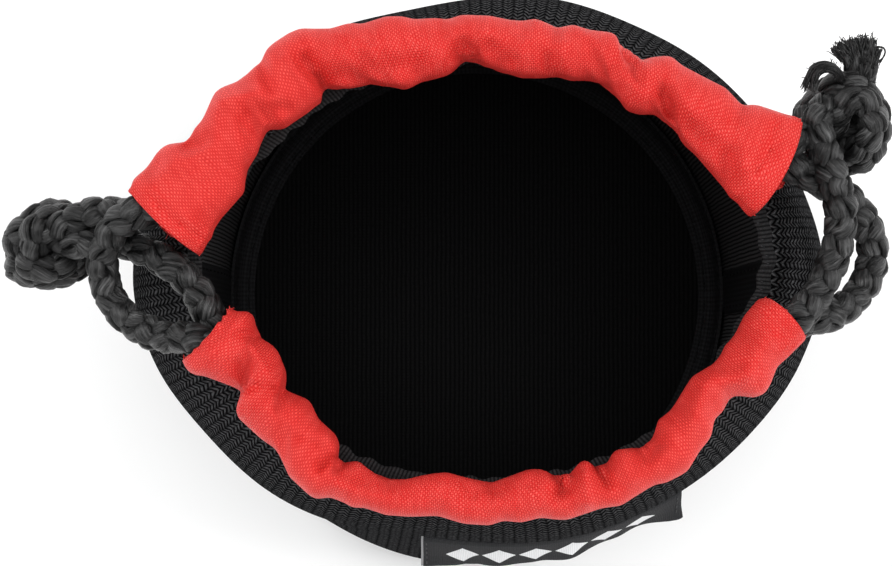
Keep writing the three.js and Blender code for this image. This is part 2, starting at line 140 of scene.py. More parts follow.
# folds of the channels' upper side: lines from (x1, y1) to (x2, y2) at z = 94, half width, height
BACK_FOLDS = [(-29.5, 18.2, -28.6, 16.5, 0.61, -1), (-27.2, 18.7, -24.5, 19.2, 0.67, -0.9),
              (-26.2, 17.8, -25.2, 16.9, 0.61, -0.8), (-28.4, 19.2, -27, 17, 0.37, 0.45),
              (-27.2, 24.7, -26.4, 21.5, 0.55, -0.8), (-32.1, 19.9, -27.2, 21.2, 0.61, 0.45),
              (-36.5, 14.3, -34.5, 14.9, 0.61, -0.8), (-40.9, 11.4, -39.9, 12.5, 0.73, -0.5),
              (-38.2, 12.1, -34.2, 14.1, 0.86, 0.35), (-22, 25.2, -19.8, 22.7, 0.86, -1.7),
              (-24.4, 25.4, -20.9, 21.5, 0.44, 0.55), (-11.4, 24.2, -8.3, 24.4, 1.1, -1.1),
              (-18.2, 22.9, -15.1, 23.2, 0.98, -0.9), (-13.4, 26.6, -13.7, 22.7, 0.55, 0.4),
              (-10.8, 22.2, -8.7, 22.2, 0.49, 0.3), (-3.3, 26.4, -1.6, 25.9, 0.73, -1.2),
              (-3.5, 27.9, -6, 23.2, 0.49, 0.45), (-0.1, 28.4, -1.1, 25.4, 0.43, 0.4),
              (0.6, 26.9, 3.1, 24.9, 0.73, -1), (5, 27.6, 4.3, 23.9, 0.98, 0.45), (7.9, 25.8, 8.2, 23.7, 0.61, -0.7),
              (9.7, 27, 10.2, 23.2, 0.73, 0.4), (-5.3, 29.4, -5.1, 28.4, 0.55, -0.5),
              (4.9, 29.6, 5, 28.4, 0.61, -0.5), (8.8, 28.9, 8.8, 27.9, 0.61, -0.5),
              (16.3, 25.9, 15.8, 23.7, 0.49, -0.7), (18.6, 24.9, 19.3, 22.1, 0.39, -0.6),
              (22.2, 21, 23.2, 18.7, 0.55, -0.9), (22.7, 19.2, 24.9, 17, 0.73, -0.65),
              (19.9, 23.7, 19.3, 19.5, 0.86, 0.55), (23.5, 22.4, 25.4, 19.2, 0.49, 0.35),
              (26, 15.9, 27.4, 14.9, 0.98, -0.9), (29.9, 13.4, 30.3, 10.1, 0.73, -0.9),
              (32.8, 18, 31.8, 12.2, 1.1, 0.45), (31.8, 19, 30.8, 17.5, 0.61, -0.4),
              (35.9, 17, 36.3, 15, 0.49, -0.3), (-34.1, 7.9, -36.6, 5.2, 1.1, 0.3),
              (-32.1, 11.6, -32.8, 9.1, 1.1, -0.35), (-41.3, 8.8, -39.7, 7, 0.32, -0.34),
              (-39.7, 7, -37.2, 4.8, 0.32, -0.34), (-37.2, 4.8, -34.7, 3.2, 0.32, -0.34),
              (35.8, 17.2, 35.3, 14.1, 0.32, -0.34), (35.3, 14.1, 33.5, 11.6, 0.32, -0.34),
              (33.5, 11.6, 31.0, 9.4, 0.32, -0.30)]
FRONT_FOLDS = [(-30, -8.4, -27.8, -8.8, 0.39, -0.9), (-32.9, -11.1, -28.6, -10.3, 0.98, 0.5),
               (-28.6, -9.9, -25.9, -14.2, 0.61, 0.55), (-30.3, -12.3, -29, -14.3, 0.49, -0.7),
               (-29, -15.2, -27.6, -14.9, 0.39, -1), (-25.9, -15.4, -24.4, -15.5, 0.39, -1),
               (-27.9, -16.6, -23, -19.7, 1.1, 0.4), (-23.4, -16.4, -21.7, -17, 0.55, -0.6),
               (-20.1, -24.9, -18.5, -23.8, 0.49, -1.7), (-19.4, -20.9, -18.3, -23, 0.73, 0.65),
               (-22.4, -21.5, -20.5, -22.2, 0.43, -0.5), (-15.7, -25.4, -13.9, -26.4, 0.86, -0.8),
               (-18.7, -26.6, -14.8, -27.9, 0.73, 0.3), (-11.2, -27.3, -9.9, -27.9, 0.73, -0.5),
               (-1.9, -27.1, -1.4, -27.9, 0.67, -0.7), (1.1, -27.6, 2.3, -26.9, 0.73, -1),
               (5.7, -26.6, 6.4, -25.7, 0.73, -0.6), (9.4, -28, 10.4, -26.6, 0.67, -1.1),
               (14.5, -24.9, 15.2, -26.6, 0.67, -1.3), (12.3, -24.2, 12.8, -29.1, 0.61, 0.7),
               (17, -23.3, 18.2, -26.2, 0.73, 0.5), (19.2, -22.4, 19.9, -23.7, 0.73, -1),
               (21.3, -20, 21.7, -21.6, 0.55, -1.3), (25.3, -14.8, 23.1, -18.5, 0.86, -0.8),
               (27.1, -14.7, 25.5, -19.7, 0.73, 0.5), (34.9, -9.3, 32.4, -13.2, 0.86, 0.45),
               (32, -13.7, 27.1, -14.7, 0.73, 0.45), (30, -16.4, 28.7, -17.6, 0.61, -0.5),
               (32.2, -6.2, 30.8, -9.9, 0.86, -0.45), (-5.3, -26.6, -4.7, -28.6, 0.98, 0.3),
               (6, -26.4, 6.9, -29.5, 0.98, 0.35)]

# cord routes: through the knots, the free stretches and the channels
LEFT_KNOT_A = [(-46.2, 6.7, 86.7), (-48.0, 6.8, 86.3), (-49.8, 6.6, 86.0), (-51.6, 6.0, 85.7), (-53.3, 4.9, 84.9),
               (-54.7, 4.1, 83.5), (-56.0, 4.0, 81.8), (-57.0, 3.0, 81.1), (-57.6, 1.3, 81.7), (-56.6, -0.0, 82.7),
               (-54.9, -0.1, 83.0), (-53.3, 0.4, 82.5), (-52.0, 1.3, 81.4), (-51.3, 2.6, 80.1), (-51.3, 4.3, 79.3),
               (-51.9, 5.7, 80.5), (-52.8, 6.7, 81.9), (-54.1, 6.4, 83.2), (-55.5, 5.8, 84.3), (-56.6, 4.2, 84.4),
               (-56.4, 2.5, 83.5), (-55.5, 1.8, 82.0), (-55.4, 1.7, 80.1), (-55.3, 2.3, 78.1), (-55.9, 2.6, 76.3),
               (-56.5, 2.7, 74.4), (-57.0, 3.1, 72.5), (-57.4, 3.4, 70.6)]
LEFT_KNOT_B = [(-45.7, 3.25, 85.7), (-47.6, 3.3, 85.7), (-49.4, 3.1, 85.4), (-51.4, 2.9, 84.6), (-52.9, 3.2, 83.0),
               (-54.1, 4.0, 81.2), (-55.5, 4.4, 79.6), (-56.9, 4.0, 78.4), (-58.4, 3.0, 77.5), (-59.3, 1.3, 77.8),
               (-58.8, -0.1, 79.1), (-57.2, -0.5, 80.1), (-55.5, -0.8, 80.7), (-53.7, -0.8, 80.6),
               (-52.2, -0.3, 79.7), (-51.0, 0.8, 78.7), (-50.3, 2.4, 77.7), (-50.4, 4.2, 77.1), (-51.3, 5.9, 77.5),
               (-52.5, 6.9, 78.6), (-53.8, 7.3, 79.9), (-55.0, 7.1, 81.3), (-56.5, 6.3, 82.2), (-58.0, 5.1, 82.2),
               (-59.1, 3.8, 81.1), (-58.7, 2.5, 79.8), (-57.3, 1.6, 78.9), (-56.6, 0.5, 77.4), (-55.5, 0.4, 75.8),
               (-54.5, 1.0, 74.3), (-54.0, 1.8, 72.5), (-53.9, 2.6, 70.7)]
RIGHT_KNOT_A = [(43.8, 9.9, 89.6), (43.3, 11.8, 89.5), (42.7, 13.7, 89.4), (42.1, 15.5, 89.3), (41.6, 17.3, 89.1),
                (41.7, 18.8, 88.5), (42.5, 19.9, 87.3), (43.8, 20.8, 86.0), (44.5, 21.8, 84.7), (43.9, 22.6, 84.0),
                (42.7, 21.6, 83.8), (41.4, 20.3, 83.8), (40.9, 19.3, 83.9), (41.2, 17.8, 83.6), (42.5, 16.6, 83.1),
                (44.0, 15.5, 82.6), (45.6, 14.7, 83.4), (46.9, 14.7, 84.9), (48.0, 15.6, 86.2), (48.7, 17.2, 87.2),
                (48.7, 19.1, 87.7), (47.7, 20.7, 88.1), (46.0, 21.1, 88.3), (44.9, 19.7, 87.9), (43.6, 19.2, 86.6),
                (42.7, 19.2, 85.0), (42.9, 19.0, 83.1), (43.5, 19.1, 81.3), (44.9, 18.3, 81.2), (46.5, 17.6, 82.0),
                (47.7, 18.9, 81.7), (48.1, 20.7, 81.2), (48.0, 22.4, 81.9), (47.7, 23.6, 83.3), (47.4, 24.6, 84.8)]
RIGHT_KNOT_B = [(42.3, 17.3, 85.6), (44.0, 17.7, 85.2), (44.8, 19.3, 84.5), (44.9, 20.7, 83.1), (44.8, 22.2, 82.1),
                (43.7, 22.4, 81.8), (42.4, 21.1, 81.5), (41.2, 20.0, 81.6), (40.8, 18.7, 81.6), (41.1, 17.1, 81.3),
                (42.3, 15.6, 80.8), (43.9, 14.4, 80.4), (45.6, 13.6, 81.1), (47.2, 13.6, 82.3), (48.6, 14.5, 83.5),
                (49.4, 16.0, 84.5), (49.7, 17.9, 85.2), (49.3, 19.8, 85.6), (48.2, 21.4, 85.9), (46.6, 22.7, 86.3),
                (45.1, 23.2, 86.6), (43.7, 22.4, 86.2), (43.1, 20.8, 85.2), (43.2, 20.7, 83.3), (43.2, 20.6, 81.3),
                (43.4, 21.5, 79.8)]
LEFT_TAIL_BACK = [(-44.2, 6.5, 87.5), (-41.0, 6.8, 88.8), (-39.6, 7.8, 88.8)]
LEFT_TAIL_FRONT = [(-32.1, -9.2, 88.7), (-33.1, -7.7, 88.7), (-34.1, -5.6, 88.6), (-35.4, -3.2, 88.4), (-37.9, -0.5, 88.2),
                   (-40.8, 1.4, 87.2), (-43.4, 2.6, 86.2)]
RIGHT_CORD_LEFT_CROSSING = [(-39.6, 8.2, 92.2), (-41.3, 7.2, 92.1), (-44.3, 5.8, 91.3), (-46.3, 3.5, 89.8), (-47.3, 0.6, 88.0),
                            (-46.9, -2.6, 86.8), (-45.2, -5.6, 86.6), (-42.3, -7.8, 87.7), (-38.9, -8.8, 89.7),
                            (-35.9, -9.0, 91.4), (-33.0, -10.2, 92.2)]
LEFT_CORD_RIGHT_CROSSING = [(36.6, 13.2, 88.7), (38.6, 12.4, 88.7), (41.0, 11.2, 87.9), (43.8, 9.8, 86.2), (46.5, 8.0, 84.6),
                            (48.5, 5.2, 83.4), (49.2, 1.8, 82.9), (48.2, -1.7, 83.3), (45.9, -4.6, 84.5), (43.1, -6.1, 86.1),
                            (40.4, -6.7, 87.6), (38.4, -7.2, 88.5), (36.9, -8.4, 88.6)]
RIGHT_TAIL_BACK = [(36.0, 15.1, 92.2), (37.8, 15.2, 90.9), (39.4, 16.2, 88.6), (41.0, 17.0, 86.4)]
RIGHT_TAIL_FRONT = [(44.4, 6.5, 89.7), (44.2, 3.3, 88.9), (43.2, 0.0, 88.8), (41.8, -2.8, 89.4), (40.0, -5.1, 90.6),
                    (38.3, -6.8, 91.8), (36.7, -8.1, 92.2)]


# ---- small helpers ----------------------------------------------------------------------------
def unit(v):
    return v / np.maximum(np.linalg.norm(v, axis=-1, keepdims=True), 1e-9)


def resample(P, n):
    s = np.r_[0, np.cumsum(np.linalg.norm(np.diff(P, axis=0), axis=1))]
    u = np.linspace(0, s[-1], n)
    return np.stack([np.interp(u, s, P[:, k]) for k in range(P.shape[1])], 1)


def spline(points, step):
    """A smooth line through the points, at even steps."""
    P = np.array(points, float)
    P = np.vstack([2 * P[0] - P[1], P, 2 * P[-1] - P[-2]])
    out = []
    for i in range(1, len(P) - 2):
        p0, p1, p2, p3 = P[i - 1:i + 3]
        t = [0.0]
        for a, b in ((p0, p1), (p1, p2), (p2, p3)):
            t.append(t[-1] + max(np.linalg.norm(b - a), 1e-6) ** 0.5)
        for u in np.linspace(t[1], t[2], 14, endpoint=False):
            a1 = (t[1] - u) / (t[1] - t[0]) * p0 + (u - t[0]) / (t[1] - t[0]) * p1
            a2 = (t[2] - u) / (t[2] - t[1]) * p1 + (u - t[1]) / (t[2] - t[1]) * p2
            a3 = (t[3] - u) / (t[3] - t[2]) * p2 + (u - t[2]) / (t[3] - t[2]) * p3
            b1 = (t[2] - u) / (t[2] - t[0]) * a1 + (u - t[0]) / (t[2] - t[0]) * a2
            b2 = (t[3] - u) / (t[3] - t[1]) * a2 + (u - t[1]) / (t[3] - t[1]) * a3
            out.append((t[2] - u) / (t[2] - t[1]) * b1 + (u - t[1]) / (t[2] - t[1]) * b2)
    out.append(P[-2])
    out = np.array(out)
    length = np.linalg.norm(np.diff(out, axis=0), axis=1).sum()
    return resample(out, int(round(length / step)) + 1)


def frames(P):
    """Tangents and two side directions carried along the line without twist."""
    T = unit(np.gradient(P, axis=0))
    n = np.cross(T[0], (0.13, 0.29, 0.95))
    N = [n / np.linalg.norm(n)]
    for i in range(1, len(P)):
        v = N[-1] - T[i] * np.dot(N[-1], T[i])
        N.append(v / np.linalg.norm(v))
    N = np.array(N)
    return T, N, np.cross(T, N)


def wave(x, seed, period, octaves=3):
    """Smooth noise of a number or an array, about -1 to 1, that repeats nowhere near."""
    r = np.random.default_rng(seed)
    y = 0
    for o in range(octaves):
        f = 2 * np.pi / period * (1.0 + 0.83 * o)
        y = y + (np.sin(f * x + r.uniform(0, 6.28)) + np.sin(f * 1.37 * x + r.uniform(0, 6.28))) / (1.6 + 1.2 * o)
    return y / 1.6


def ring_table(table, degrees):
    n = len(table)
    u = np.mod(degrees, 360) / 360 * n
    i = np.floor(u).astype(int)
    f = u - i
    t = np.array(table)
    a, b, c, d = t[(i - 1) % n], t[i % n], t[(i + 1) % n], t[(i + 2) % n]
    return b + 0.5 * f * (c - a + f * (2 * a - 5 * b + 4 * c - d + f * (3 * (b - c) + d - a)))


def smoothstep(t):
    t = np.clip(t, 0, 1)
    return t * t * (3 - 2 * t)


def outer_r(degrees, z):
    """Outside of the wall, without the rounding of its foot."""
    belly, rim = ring_table(BELLY_R, degrees), ring_table(MOUTH_R, degrees) + WALL
    up = np.clip((z - BELLY_Z) / (RIM_Z - BELLY_Z), 0, 1.05) ** 2.2
    low = BASE_R + (belly - BASE_R) * smoothstep((z - 6) / (BELLY_Z - 6))
    return np.where(z >= BELLY_Z, belly + (rim - belly) * up, low)


class Shape:
    """Vertices and faces gathered from strips, tubes and caps, with a UV map in millimetres."""

    def __init__(self):
        self.v, self.q, self.t, self.quv, self.tuv, self.qm, self.tm, self.n = [], [], [], [], [], [], [], 0

    def add(self, P):
        self.v.append(np.asarray(P, float).reshape(-1, 3))
        self.n += len(self.v[-1])
        return self.n - len(self.v[-1])

    def grid(self, P, UV, wrap=False, mat=0, flip=False, closed=False):
        """P[n, m, 3]; UV[n, m, 2], with one column more when it wraps and one row more when it is closed."""
        n, m = P.shape[:2]
        base = self.add(P)
        cols = m if wrap else m - 1
        i, j = np.meshgrid(np.arange(n if closed else n - 1), np.arange(cols), indexing="ij")
        k, l = (j + 1) % m, (i + 1) % n
        Q = np.stack([base + i * m + j, base + l * m + j, base + l * m + k, base + i * m + k], -1).reshape(-1, 4)
        U = np.stack([UV[i, j], UV[i + 1, j], UV[i + 1, j + 1], UV[i, j + 1]], -2).reshape(-1, 4, 2)
        if flip:
            Q, U = Q[:, ::-1], U[:, ::-1]
        self.q.append(Q), self.quv.append(U), self.qm.append(np.full(len(Q), mat))
        return base

    def fan(self, loop, centre, mat=0, uv=(0.0, 0.0), flip=False, size=0.4):
        """Closes a loop of vertex numbers with a point."""
        c = self.add([centre])
        loop = np.asarray(loop)
        T = np.stack([loop, np.roll(loop, -1), np.full(len(loop), c)], -1)
        if flip:
            T = T[:, ::-1]
        self.t.append(T), self.tm.append(np.full(len(T), mat))
        a = np.linspace(0, 2 * np.pi, len(loop) + 1)
        ring = np.stack([np.cos(a), np.sin(a)], 1) * size + uv
        U = np.stack([ring[:-1], ring[1:], np.tile(np.array(uv), (len(loop), 1))], 1)
        self.tuv.append(U[:, ::-1] if flip else U)

    def tube(self, P, radius, sides=6, mat=0, caps=True, v0=0.0, flat=1.0, up=None):
        """A round or flattened tube along P."""
        T, N, B = frames(P)
        if up is not None:
            N = unit(up - T * (up * T).sum(-1, keepdims=True))
            B = np.cross(T, N)
        a = np.arange(sides) / sides * 2 * np.pi
        r = np.broadcast_to(np.asarray(radius, float), (len(P),))[:, None, None]
        ring = P[:, None] + r * (np.cos(a)[None, :, None] * N[:, None] * flat + np.sin(a)[None, :, None] * B[:, None])
        s = np.r_[0, np.cumsum(np.linalg.norm(np.diff(P, axis=0), axis=1))] + v0
        u = np.arange(sides + 1) / sides * 2 * np.pi * float(np.mean(r))
        UV = np.stack(np.broadcast_arrays(u[None, :], s[:, None]), -1)
        base = self.grid(ring, UV, wrap=True, mat=mat)
        if caps:
            self.fan(base + np.arange(sides), P[0] - T[0] * np.mean(r) * 0.3, mat, flip=False)
            self.fan(base + (len(P) - 1) * sides + np.arange(sides), P[-1] + T[-1] * np.mean(r) * 0.3, mat, flip=True)

    def make(self, name, materials):
        V = np.concatenate(self.v) * MM
        Q = np.concatenate(self.q) if self.q else np.zeros((0, 4), int)
        T = np.concatenate(self.t) if self.t else np.zeros((0, 3), int)
        loops = np.concatenate([Q.ravel(), T.ravel()]).astype(np.int32)
        starts = np.concatenate([np.arange(len(Q)) * 4, len(Q) * 4 + np.arange(len(T)) * 3]).astype(np.int32)
        me = bpy.data.meshes.new(name)
        me.vertices.add(len(V))
        me.vertices.foreach_set("co", V.ravel())
        me.loops.add(len(loops))
        me.loops.foreach_set("vertex_index", loops)
        me.polygons.add(len(starts))
        me.polygons.foreach_set("loop_start", starts)
        me.polygons.foreach_set("material_index", np.concatenate(self.qm + self.tm).astype(np.int32))
        uv = me.uv_layers.new(name="UVMap")
        uv.data.foreach_set("uv", np.concatenate([np.concatenate(x).ravel() for x in (self.quv, self.tuv) if x]).astype(np.float32))
        for m in materials if isinstance(materials, (list, tuple)) else [materials]:
            me.materials.append(m)
        me.update(calc_edges=True)
        me.validate()
        me.shade_smooth()
        o = bpy.data.objects.new(name, me)
        bpy.context.scene.collection.objects.link(o)
        return o


# ---- materials --------------------------------------------------------------------------------
class Paint:
    """A node material, built from small pieces of arithmetic on the UV map in millimetres."""

    def __init__(self, name, roughness=0.8, **constants):
        self.m = bpy.data.materials.new(name)
        self.m.use_nodes = True
        self.t = self.m.node_tree
        self.b = self.t.nodes["Principled BSDF"]
        self.b.inputs["Roughness"].default_value = roughness
        for key, value in constants.items():
            self.b.inputs[key.replace("_", " ")].default_value = value
        uv = self.t.nodes.new("ShaderNodeUVMap")
        uv.uv_map = "UVMap"
        self.uv = uv.outputs["UV"]
        sep = self.t.nodes.new("ShaderNodeSeparateXYZ")
        self.t.links.new(self.uv, sep.inputs[0])
        self.u, self.v = sep.outputs[0], sep.outputs[1]
        self.object = self.t.nodes.new("ShaderNodeTexCoord").outputs["Object"]

    def put(self, socket, value):
        if isinstance(value, bpy.types.NodeSocket):
            self.t.links.new(value, socket)
        else:
            socket.default_value = value

    def math(self, op, *args, clamp=False):
        n = self.t.nodes.new("ShaderNodeMath")
        n.operation = op
        n.use_clamp = clamp
        for i, a in enumerate(args):
            self.put(n.inputs[i], a)
        return n.outputs[0]

    def vec(self, x, y, z=0.0):
        n = self.t.nodes.new("ShaderNodeCombineXYZ")
        for i, a in enumerate((x, y, z)):
            self.put(n.inputs[i], a)
        return n.outputs[0]

    def noise(self, vector, scale, detail=2.0, rough=0.5, distortion=0.0):
        n = self.t.nodes.new("ShaderNodeTexNoise")
        self.put(n.inputs["Vector"], vector)
        n.inputs["Scale"].default_value = scale
        n.inputs["Detail"].default_value = detail
        n.inputs["Roughness"].default_value = rough
        n.inputs["Distortion"].default_value = distortion
        return n.outputs[0]

    def mix(self, factor, a, b):
        n = self.t.nodes.new("ShaderNodeMix")
        n.data_type = "RGBA"
        self.put(n.inputs[0], factor)
        for i, c in ((6, a), (7, b)):
            self.put(n.inputs[i], c if isinstance(c, bpy.types.NodeSocket) else (*c, 1.0))
        return n.outputs[2]

    def span(self, value, lo, hi, to_lo=0.0, to_hi=1.0):
        n = self.t.nodes.new("ShaderNodeMapRange")
        self.put(n.inputs[0], value)
        for i, x in enumerate((lo, hi, to_lo, to_hi)):
            n.inputs[i + 1].default_value = x
        return n.outputs[0]

    def bump(self, *layers):
        """layers of (height, strength, distance in mm), the first one lowest."""
        normal = None
        for height, strength, distance in layers:
            n = self.t.nodes.new("ShaderNodeBump")
            n.inputs["Strength"].default_value = strength
            n.inputs["Distance"].default_value = distance * MM
            self.put(n.inputs["Height"], height)
            if normal is not None:
                self.t.links.new(normal, n.inputs["Normal"])
            normal = n.outputs[0]
        self.t.links.new(normal, self.b.inputs["Normal"])

    def color(self, value):
        self.put(self.b.inputs["Base Color"], value if isinstance(value, bpy.types.NodeSocket) else (*value, 1.0))


def knit_paint():
    """Outer face: coarse jersey. Zigzag courses 1.05 mm apart run round the wall, one wave to each 1.5 mm wale."""
    p = Paint("knit_outer", 0.85, Specular_IOR_Level=0.0)
    drift = p.math("SUBTRACT", p.noise(p.vec(p.u, p.v), 0.35, 2), 0.5)
    shake = p.math("SUBTRACT", p.noise(p.vec(p.u, p.v), 1.1, 1), 0.5)
    x = p.math("FRACT", p.math("ADD", p.math("DIVIDE", p.u, 1.5), p.math("MULTIPLY", shake, 0.30)))
    off = p.math("ABSOLUTE", p.math("SUBTRACT", x, 0.5))
    row = p.math("ADD", p.math("ADD", p.math("DIVIDE", p.v, 1.05), p.math("MULTIPLY", off, 1.75)), p.math("MULTIPLY", drift, 0.9))
    y = p.math("FRACT", row)
    leg = p.math("POWER", p.math("ABSOLUTE", p.math("SINE", p.math("MULTIPLY", x, 6.28318))), 0.5)
    loop = p.math("SINE", p.math("MULTIPLY", y, 3.14159))
    column = p.math("POWER", p.math("SINE", p.math("MULTIPLY", x, 3.14159)), 0.6)
    height = p.math("MULTIPLY", loop, p.math("ADD", 0.52, p.math("ADD", p.math("MULTIPLY", leg, 0.32), p.math("MULTIPLY", column, 0.16))))
    fibre = p.noise(p.vec(p.math("MULTIPLY", p.u, 5.0), p.math("MULTIPLY", p.v, 9.0)), 1.0, 3)
    stitch = p.noise(p.vec(p.math("MULTIPLY", p.u, 0.9), p.math("MULTIPLY", p.v, 1.3)), 1.0, 1)
    # painted light and shade: each loop lighter on its crown, darker in the gaps between loops and between wales, times
    # random fibre and stitch tone
    painted_light_and_tone = p.math("MULTIPLY", p.math("POWER", p.span(height, 0.20, 0.95), 1.45),
                 p.math("MULTIPLY", p.span(fibre, 0.3, 0.7, 0.6, 1.15), p.math("MULTIPLY", p.span(stitch, 0.3, 0.7, 0.6, 1.2), p.span(column, 0.0, 1.0, 0.52, 1.1))))
    p.color(p.mix(painted_light_and_tone, (0.0036, 0.0036, 0.0039), (0.076, 0.076, 0.079)))
    p.bump((height, 1.0, 0.55), (fibre, 0.4, 0.10))
    return p.m


def rib_paint(name, light):
    """Inner face: fine ribs that run up the wall."""
    p = Paint(name, 0.85, Specular_IOR_Level=0.06)
    wander = p.math("MULTIPLY", p.math("SUBTRACT", p.noise(p.vec(p.u, p.v), 0.2, 2), 0.5), 0.5)
    x = p.math("FRACT", p.math("ADD", p.math("DIVIDE", p.u, 0.66), wander))
    rib = p.math("POWER", p.math("SINE", p.math("MULTIPLY", x, 3.14159)), 0.8)
    cross = p.math("SINE", p.math("MULTIPLY", p.v, 6.28318 / 0.45))
    height = p.math("ADD", rib, p.math("MULTIPLY", cross, 0.14))
    grain = p.noise(p.vec(p.math("MULTIPLY", p.u, 4.0), p.math("MULTIPLY", p.v, 2.0)), 1.0, 3)
    # painted shade: darker in the grooves between the ribs, times random grain; light is this copy's painted brightness
    painted_light_and_tone = p.math("MULTIPLY", p.math("POWER", rib, 1.5), p.span(grain, 0.3, 0.7, 0.6, 1.1))
    p.color(p.mix(painted_light_and_tone, (0.0048, 0.0048, 0.0052), (light, light, light * 1.03)))
    p.bump((height, 0.8, 0.16), (grain, 0.3, 0.05))
    return p.m


def foam_paint():
    """Cut edge of the foam."""
    p = Paint("foam_edge", 0.9, Specular_IOR_Level=0.2)
    n = p.noise(p.object, 900, 4, 0.6)
    p.color(p.mix(n, (0.008, 0.008, 0.009), (0.035, 0.036, 0.04)))
    p.bump((n, 0.7, 0.15),)
    return p.m


def thread_paint(name, dark, light, rough=0.6):
    p = Paint(name, rough, Specular_IOR_Level=0.15)
    twist = p.math("SINE", p.math("ADD", p.math("MULTIPLY", p.v, 14.0), p.math("MULTIPLY", p.u, 12.0)))
    grain = p.noise(p.vec(p.math("MULTIPLY", p.u, 3.0), p.v), 2.0, 2)
    # painted shade: darker in the grooves between the twisted plies, times random grain
    p.color(p.mix(p.math("MULTIPLY", p.span(twist, -1, 1, 0.3, 1), p.span(grain, 0.3, 0.7, 0.5, 1.0)), dark, light))
    p.bump((twist, 0.5, 0.05),)
    return p.m


def cord_paint(name, with_painted_crown_shade):
    """Flat bundles of black filaments: streaks along each strand, partly random tone and partly painted highlight, and
    painted shade on each braided strand's side towards the core of the cord.
    """
    p = Paint(name, 0.37, Specular_IOR_Level=0.30)
    strand = p.vec(p.math("MULTIPLY", p.math("ADD", p.u, p.math("MULTIPLY", p.v, 0.14)), 3.6), p.math("MULTIPLY", p.v, 0.38))
    streak = p.noise(strand, 1.0, 4, 0.62)
    fine = p.noise(p.vec(p.math("MULTIPLY", p.math("ADD", p.u, p.math("MULTIPLY", p.v, 0.14)), 11.0), p.math("MULTIPLY", p.v, 0.7)), 1.0, 2)
    broad = p.noise(p.vec(p.math("MULTIPLY", p.u, 0.9), p.math("MULTIPLY", p.v, 0.35)), 1.0, 2)
    # painted highlights: light streaks along the filaments, times random broad and fine tone
    painted_light_and_tone = p.math("MULTIPLY", p.span(streak, 0.34, 0.70, 0.0, 1.0), p.span(broad, 0.32, 0.68, 0.35, 1.2))
    painted_light_and_tone = p.math("MULTIPLY", painted_light_and_tone, p.span(fine, 0.3, 0.7, 0.65, 1.15))
    # painted shade: each braided strand lit on its crown and dark on its side towards the core of the cord
    if with_painted_crown_shade:
        turn = p.math("MULTIPLY", p.math("FRACT", p.math("DIVIDE", p.u, 10.0)), 2 * 6.28318)
        painted_crown_shade = p.math("ADD", p.math("MULTIPLY", p.math("SINE", turn), 0.75), 0.32, clamp=True)
        painted_light_and_tone = p.math("MULTIPLY", painted_light_and_tone, painted_crown_shade)
    painted_light_and_tone = p.math("POWER", painted_light_and_tone, 1.45)
    p.color(p.mix(painted_light_and_tone, (0.0009, 0.0009, 0.0010), (0.116, 0.116, 0.117)))
    p.bump((streak, 1.0, 0.34), (fine, 0.8, 0.12))
    return p.m


def taffeta_paint():
    """Plain weave of red yarns 0.27 mm apart: the yarns of one direction catch more light than the others, painted in
    as pale pink highlights on their crowns, with painted shade in the hollows between the yarns.
    """
    p = Paint("red_taffeta", 0.46, Specular_IOR_Level=0.16)
    wob = p.math("MULTIPLY", p.math("SUBTRACT", p.noise(p.vec(p.u, p.v), 0.25, 2), 0.5), 1.6)
    x = p.math("DIVIDE", p.math("ADD", p.u, wob), 0.27)
    y = p.math("DIVIDE", p.math("ADD", p.v, p.math("MULTIPLY", wob, 0.6)), 0.27)
    ix, iy = p.math("FLOOR", x), p.math("FLOOR", y)
    fx, fy = p.math("SUBTRACT", p.math("FRACT", x), 0.5), p.math("SUBTRACT", p.math("FRACT", y), 0.5)
    across_x = p.math("COSINE", p.math("MULTIPLY", fx, 3.14159))
    across_y = p.math("COSINE", p.math("MULTIPLY", fy, 3.14159))
    over_x = p.math("COSINE", p.math("MULTIPLY", p.math("ADD", p.math("SUBTRACT", y, 0.5), ix), 3.14159))
    over_y = p.math("COSINE", p.math("MULTIPLY", p.math("ADD", p.math("ADD", x, 0.5), iy), 3.14159))
    a = p.math("MULTIPLY", across_x, p.math("ADD", 0.5, p.math("MULTIPLY", over_x, 0.5)))
    b = p.math("MULTIPLY", across_y, p.math("ADD", 0.5, p.math("MULTIPLY", over_y, 0.5)))
    height = p.math("MAXIMUM", a, b)
    slub = p.noise(p.vec(p.math("MULTIPLY", p.u, 2.6), p.math("MULTIPLY", p.v, 0.25)), 1.0, 2)
    # painted highlight on the crowns of the yarns of one direction, a weaker one on the others, painted shade in the
    # hollows between
    painted_dot_highlights = p.math("ADD", p.math("MULTIPLY", p.math("POWER", a, 1.5), 0.80), p.math("MULTIPLY", b, 0.22))
    crinkle = p.noise(p.vec(p.u, p.v), 0.85, 3, 0.55)
    # the colour: the painted highlights times real slub variation and the painted light and shade of the crinkle
    tone = p.math("MULTIPLY", painted_dot_highlights, p.math("MULTIPLY", p.span(slub, 0.3, 0.7, 0.62, 1.2), p.span(crinkle, 0.3, 0.7, 0.8, 1.15)))
    p.color(p.mix(tone, (0.57, 0.0055, 0.0052), (0.99, 0.150, 0.124)))
    p.bump((crinkle, 0.5, 0.30), (slub, 0.3, 0.12), (height, 0.85, 0.15))
    return p.m


# the inner rib material comes in copies that differ only in brightness: the inner wall's copy is painted lighter
# (painted light), the rim's and the base's darker (painted shade)
KNIT, RIB_PAINTED_LIGHT, FOAM, RED = knit_paint(), rib_paint("knit_inner", 0.17), foam_paint(), taffeta_paint()
RIM_PAINTED_SHADE = rib_paint("knit_inner_rim_painted_shade", 0.026)
CORD, FRAY = cord_paint("cord_filaments", True), cord_paint("loose_filaments", False)
BLACK_THREAD = thread_paint("black_thread", (0.003, 0.003, 0.0035), (0.034, 0.034, 0.037))
RED_THREAD = thread_paint("red_thread", (0.40, 0.010, 0.012), (0.72, 0.03, 0.03))


